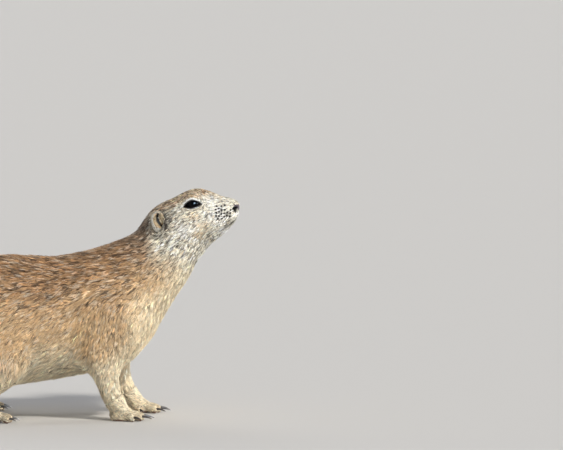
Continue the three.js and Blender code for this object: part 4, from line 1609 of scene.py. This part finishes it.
class PRAIRIEDOG_OT_claws(bpy.types.Operator):
    """Makes the smooth dark claws"""

    bl_idname = "prairie_dog.claws"
    bl_label = "Claws"

    def execute(self, context):
        material = claw_material()
        for node in CLAWS:
            claw = copies([node], node.replace("claw_", "nail_"))
            apply_modifier(claw, "SUBSURF", levels=2, render_levels=2)
            low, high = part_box(node)
            points = points_of(claw.data)
            write_attribute(claw.data, "along", (points[:, 0] - low.x) / (high.x - low.x))
            finish_piece(claw, material, "claw", node)
        return {"FINISHED"}


# Stage

# The photograph's size and its right eye's place in pixels, and a pixel's size at the head
PHOTO_WIDTH, PHOTO_HEIGHT = 563, 450
EYE_PIXEL = (192.5, 203.5)
MM_PER_PIXEL = 0.68

# The camera's sensor in millimetres, and the floor's side in metres
SENSOR, FLOOR_SIDE = 36, 400

# Distant lamps: direction, angle across in degrees, strength and colour
SUNS = {
    "key": ((0.50, -0.68, 0.80), 9, 2.6, (1.0, 0.965, 0.90)),
    "front_rim": ((0.92, 0.34, 0.16), 20, 2.1, (1.0, 0.99, 0.97)),
    "back_rim": ((-0.3, 1.0, 0.9), 30, 0.4, (1.0, 0.98, 0.95)),
    "low_fill": ((0.85, -0.50, 0.0), 20, 0.75, (1.0, 0.99, 0.97)),
}

# Lamps that are seen only in the glossy eye
EYE_LAMPS = {
    "eye_lamp": ((0.45, -0.88, 0.10), 18, 16.0, (0.90, 0.95, 1.0)),
    "small_eye_lamp": ((0.94, -0.345, 0.0), 10, 2.6, (0.90, 0.95, 1.0)),
}

# The sky's colours, from the horizon at 0 to overhead at 1
SKY = (
    (0.0, (0.62, 0.61, 0.59)),
    (0.10, (0.60, 0.60, 0.60)),
    (0.55, (0.30, 0.33, 0.38)),
    (1.0, (0.22, 0.25, 0.31)),
)


class PRAIRIEDOG_OT_stage(bpy.types.Operator):
    """Sets the floor, the lights and the camera"""

    bl_idname = "prairie_dog.stage"
    bl_label = "Stage"

    def execute(self, context):
        self.floor()
        self.world()
        self.lights()
        self.camera()
        bpy.context.scene.view_settings.view_transform = "Standard"
        return {"FINISHED"}

    def floor(self):
        stage = settings("stage")
        bpy.ops.object.select_all(action="DESELECT")
        bpy.ops.mesh.primitive_plane_add(size=FLOOR_SIDE, location=(0, 0, 0))
        floor = bpy.context.view_layer.objects.active
        floor.name = "floor"
        material = Shader("Floor").finish(Base_Color=(*stage.floor, 1), Roughness=0.9, Specular_IOR_Level=0.1)
        floor.data.materials.append(material)

    def world(self):
        """A studio sky, as bright as the floor at the horizon and darker overhead."""
        world = bpy.data.worlds.new("Studio")
        bpy.context.scene.world = world
        world.use_nodes = True
        sky = Nodes(world.node_tree)
        direction = sky.node("ShaderNodeTexCoord", {}, output="Generated")
        height = sky.node("ShaderNodeSeparateXYZ", {}, direction, output="Z")
        tint = sky.node("ShaderNodeValToRGB", {"stops": SKY}, height)
        sky.feed(sky.tree.nodes["Background"].inputs["Color"], tint)

    def sun(self, name, direction, angle, strength, tint):
        """A distant light that shines from a direction."""
        data = bpy.data.lights.new(name, "SUN")
        data.angle = math.radians(angle)
        data.energy = strength
        data.color = tint
        light = bpy.data.objects.new(name, data)
        bpy.context.scene.collection.objects.link(light)
        light.location = Vector(direction)
        light.rotation_mode = "QUATERNION"
        light.rotation_quaternion = Vector(direction).to_track_quat("Z", "Y")
        return light

    def lights(self):
        for name, values in SUNS.items():
            self.sun(name, *values)
        for name, values in EYE_LAMPS.items():
            self.sun(name, *values).visible_diffuse = False

    def camera(self):
        stage = settings("stage")
        data = bpy.data.cameras.new("camera")
        camera = bpy.data.objects.new("camera", data)
        bpy.context.scene.collection.objects.link(camera)
        pixel = MM_PER_PIXEL * MM
        data.sensor_width = SENSOR
        data.lens = SENSOR * stage.distance / (PHOTO_WIDTH * pixel)
        back = Vector((0, -math.cos(stage.elevation), math.sin(stage.elevation)))
        up = Vector((0, math.sin(stage.elevation), math.cos(stage.elevation)))
        right = Vector((1, 0, 0))
        aim = EYE_AT["right"] + right * ((PHOTO_WIDTH / 2 - EYE_PIXEL[0]) * pixel)
        aim = aim - up * ((PHOTO_HEIGHT / 2 - EYE_PIXEL[1]) * pixel)
        camera.location = aim + back * stage.distance
        camera.rotation_mode = "QUATERNION"
        camera.rotation_quaternion = (-back).to_track_quat("-Z", "Y")
        data.clip_end = 100
        bpy.context.scene.camera = camera


# Panel and registration

STEPS = ("skin", "coat", "eyes", "lids", "ears", "whiskers", "claws", "stage")


class PRAIRIEDOG_PT_panel(bpy.types.Panel):
    """Lists the pieces and their settings in the sidebar"""

    bl_idname = "PRAIRIEDOG_PT_panel"
    bl_label = "Prairie Dog"
    bl_space_type = "VIEW_3D"
    bl_region_type = "UI"
    bl_category = "Prairie Dog"

    def draw(self, context):
        for name in SETTINGS:
            box = self.layout.box()
            box.label(text=name.title())
            values = settings(name)
            for key in values.bl_rna.properties.keys():
                if key not in ("rna_type", "name"):
                    box.prop(values, key)
        for name in STEPS:
            self.layout.operator("prairie_dog." + name)


CLASSES = (
    *SETTINGS.values(),
    PRAIRIEDOG_OT_skin,
    PRAIRIEDOG_OT_coat,
    PRAIRIEDOG_OT_eyes,
    PRAIRIEDOG_OT_lids,
    PRAIRIEDOG_OT_ears,
    PRAIRIEDOG_OT_whiskers,
    PRAIRIEDOG_OT_claws,
    PRAIRIEDOG_OT_stage,
    PRAIRIEDOG_PT_panel,
)


def register():
    for made in CLASSES:
        bpy.utils.register_class(made)
    for name, kind in SETTINGS.items():
        setattr(bpy.types.Scene, "prairie_dog_" + name, bpy.props.PointerProperty(type=kind))


def unregister():
    for name in SETTINGS:
        delattr(bpy.types.Scene, "prairie_dog_" + name)
    for made in reversed(CLASSES):
        bpy.utils.unregister_class(made)


def main():
    register()
    for name in STEPS:
        getattr(bpy.ops.prairie_dog, name)()


if __name__ == "__main__":
    main()
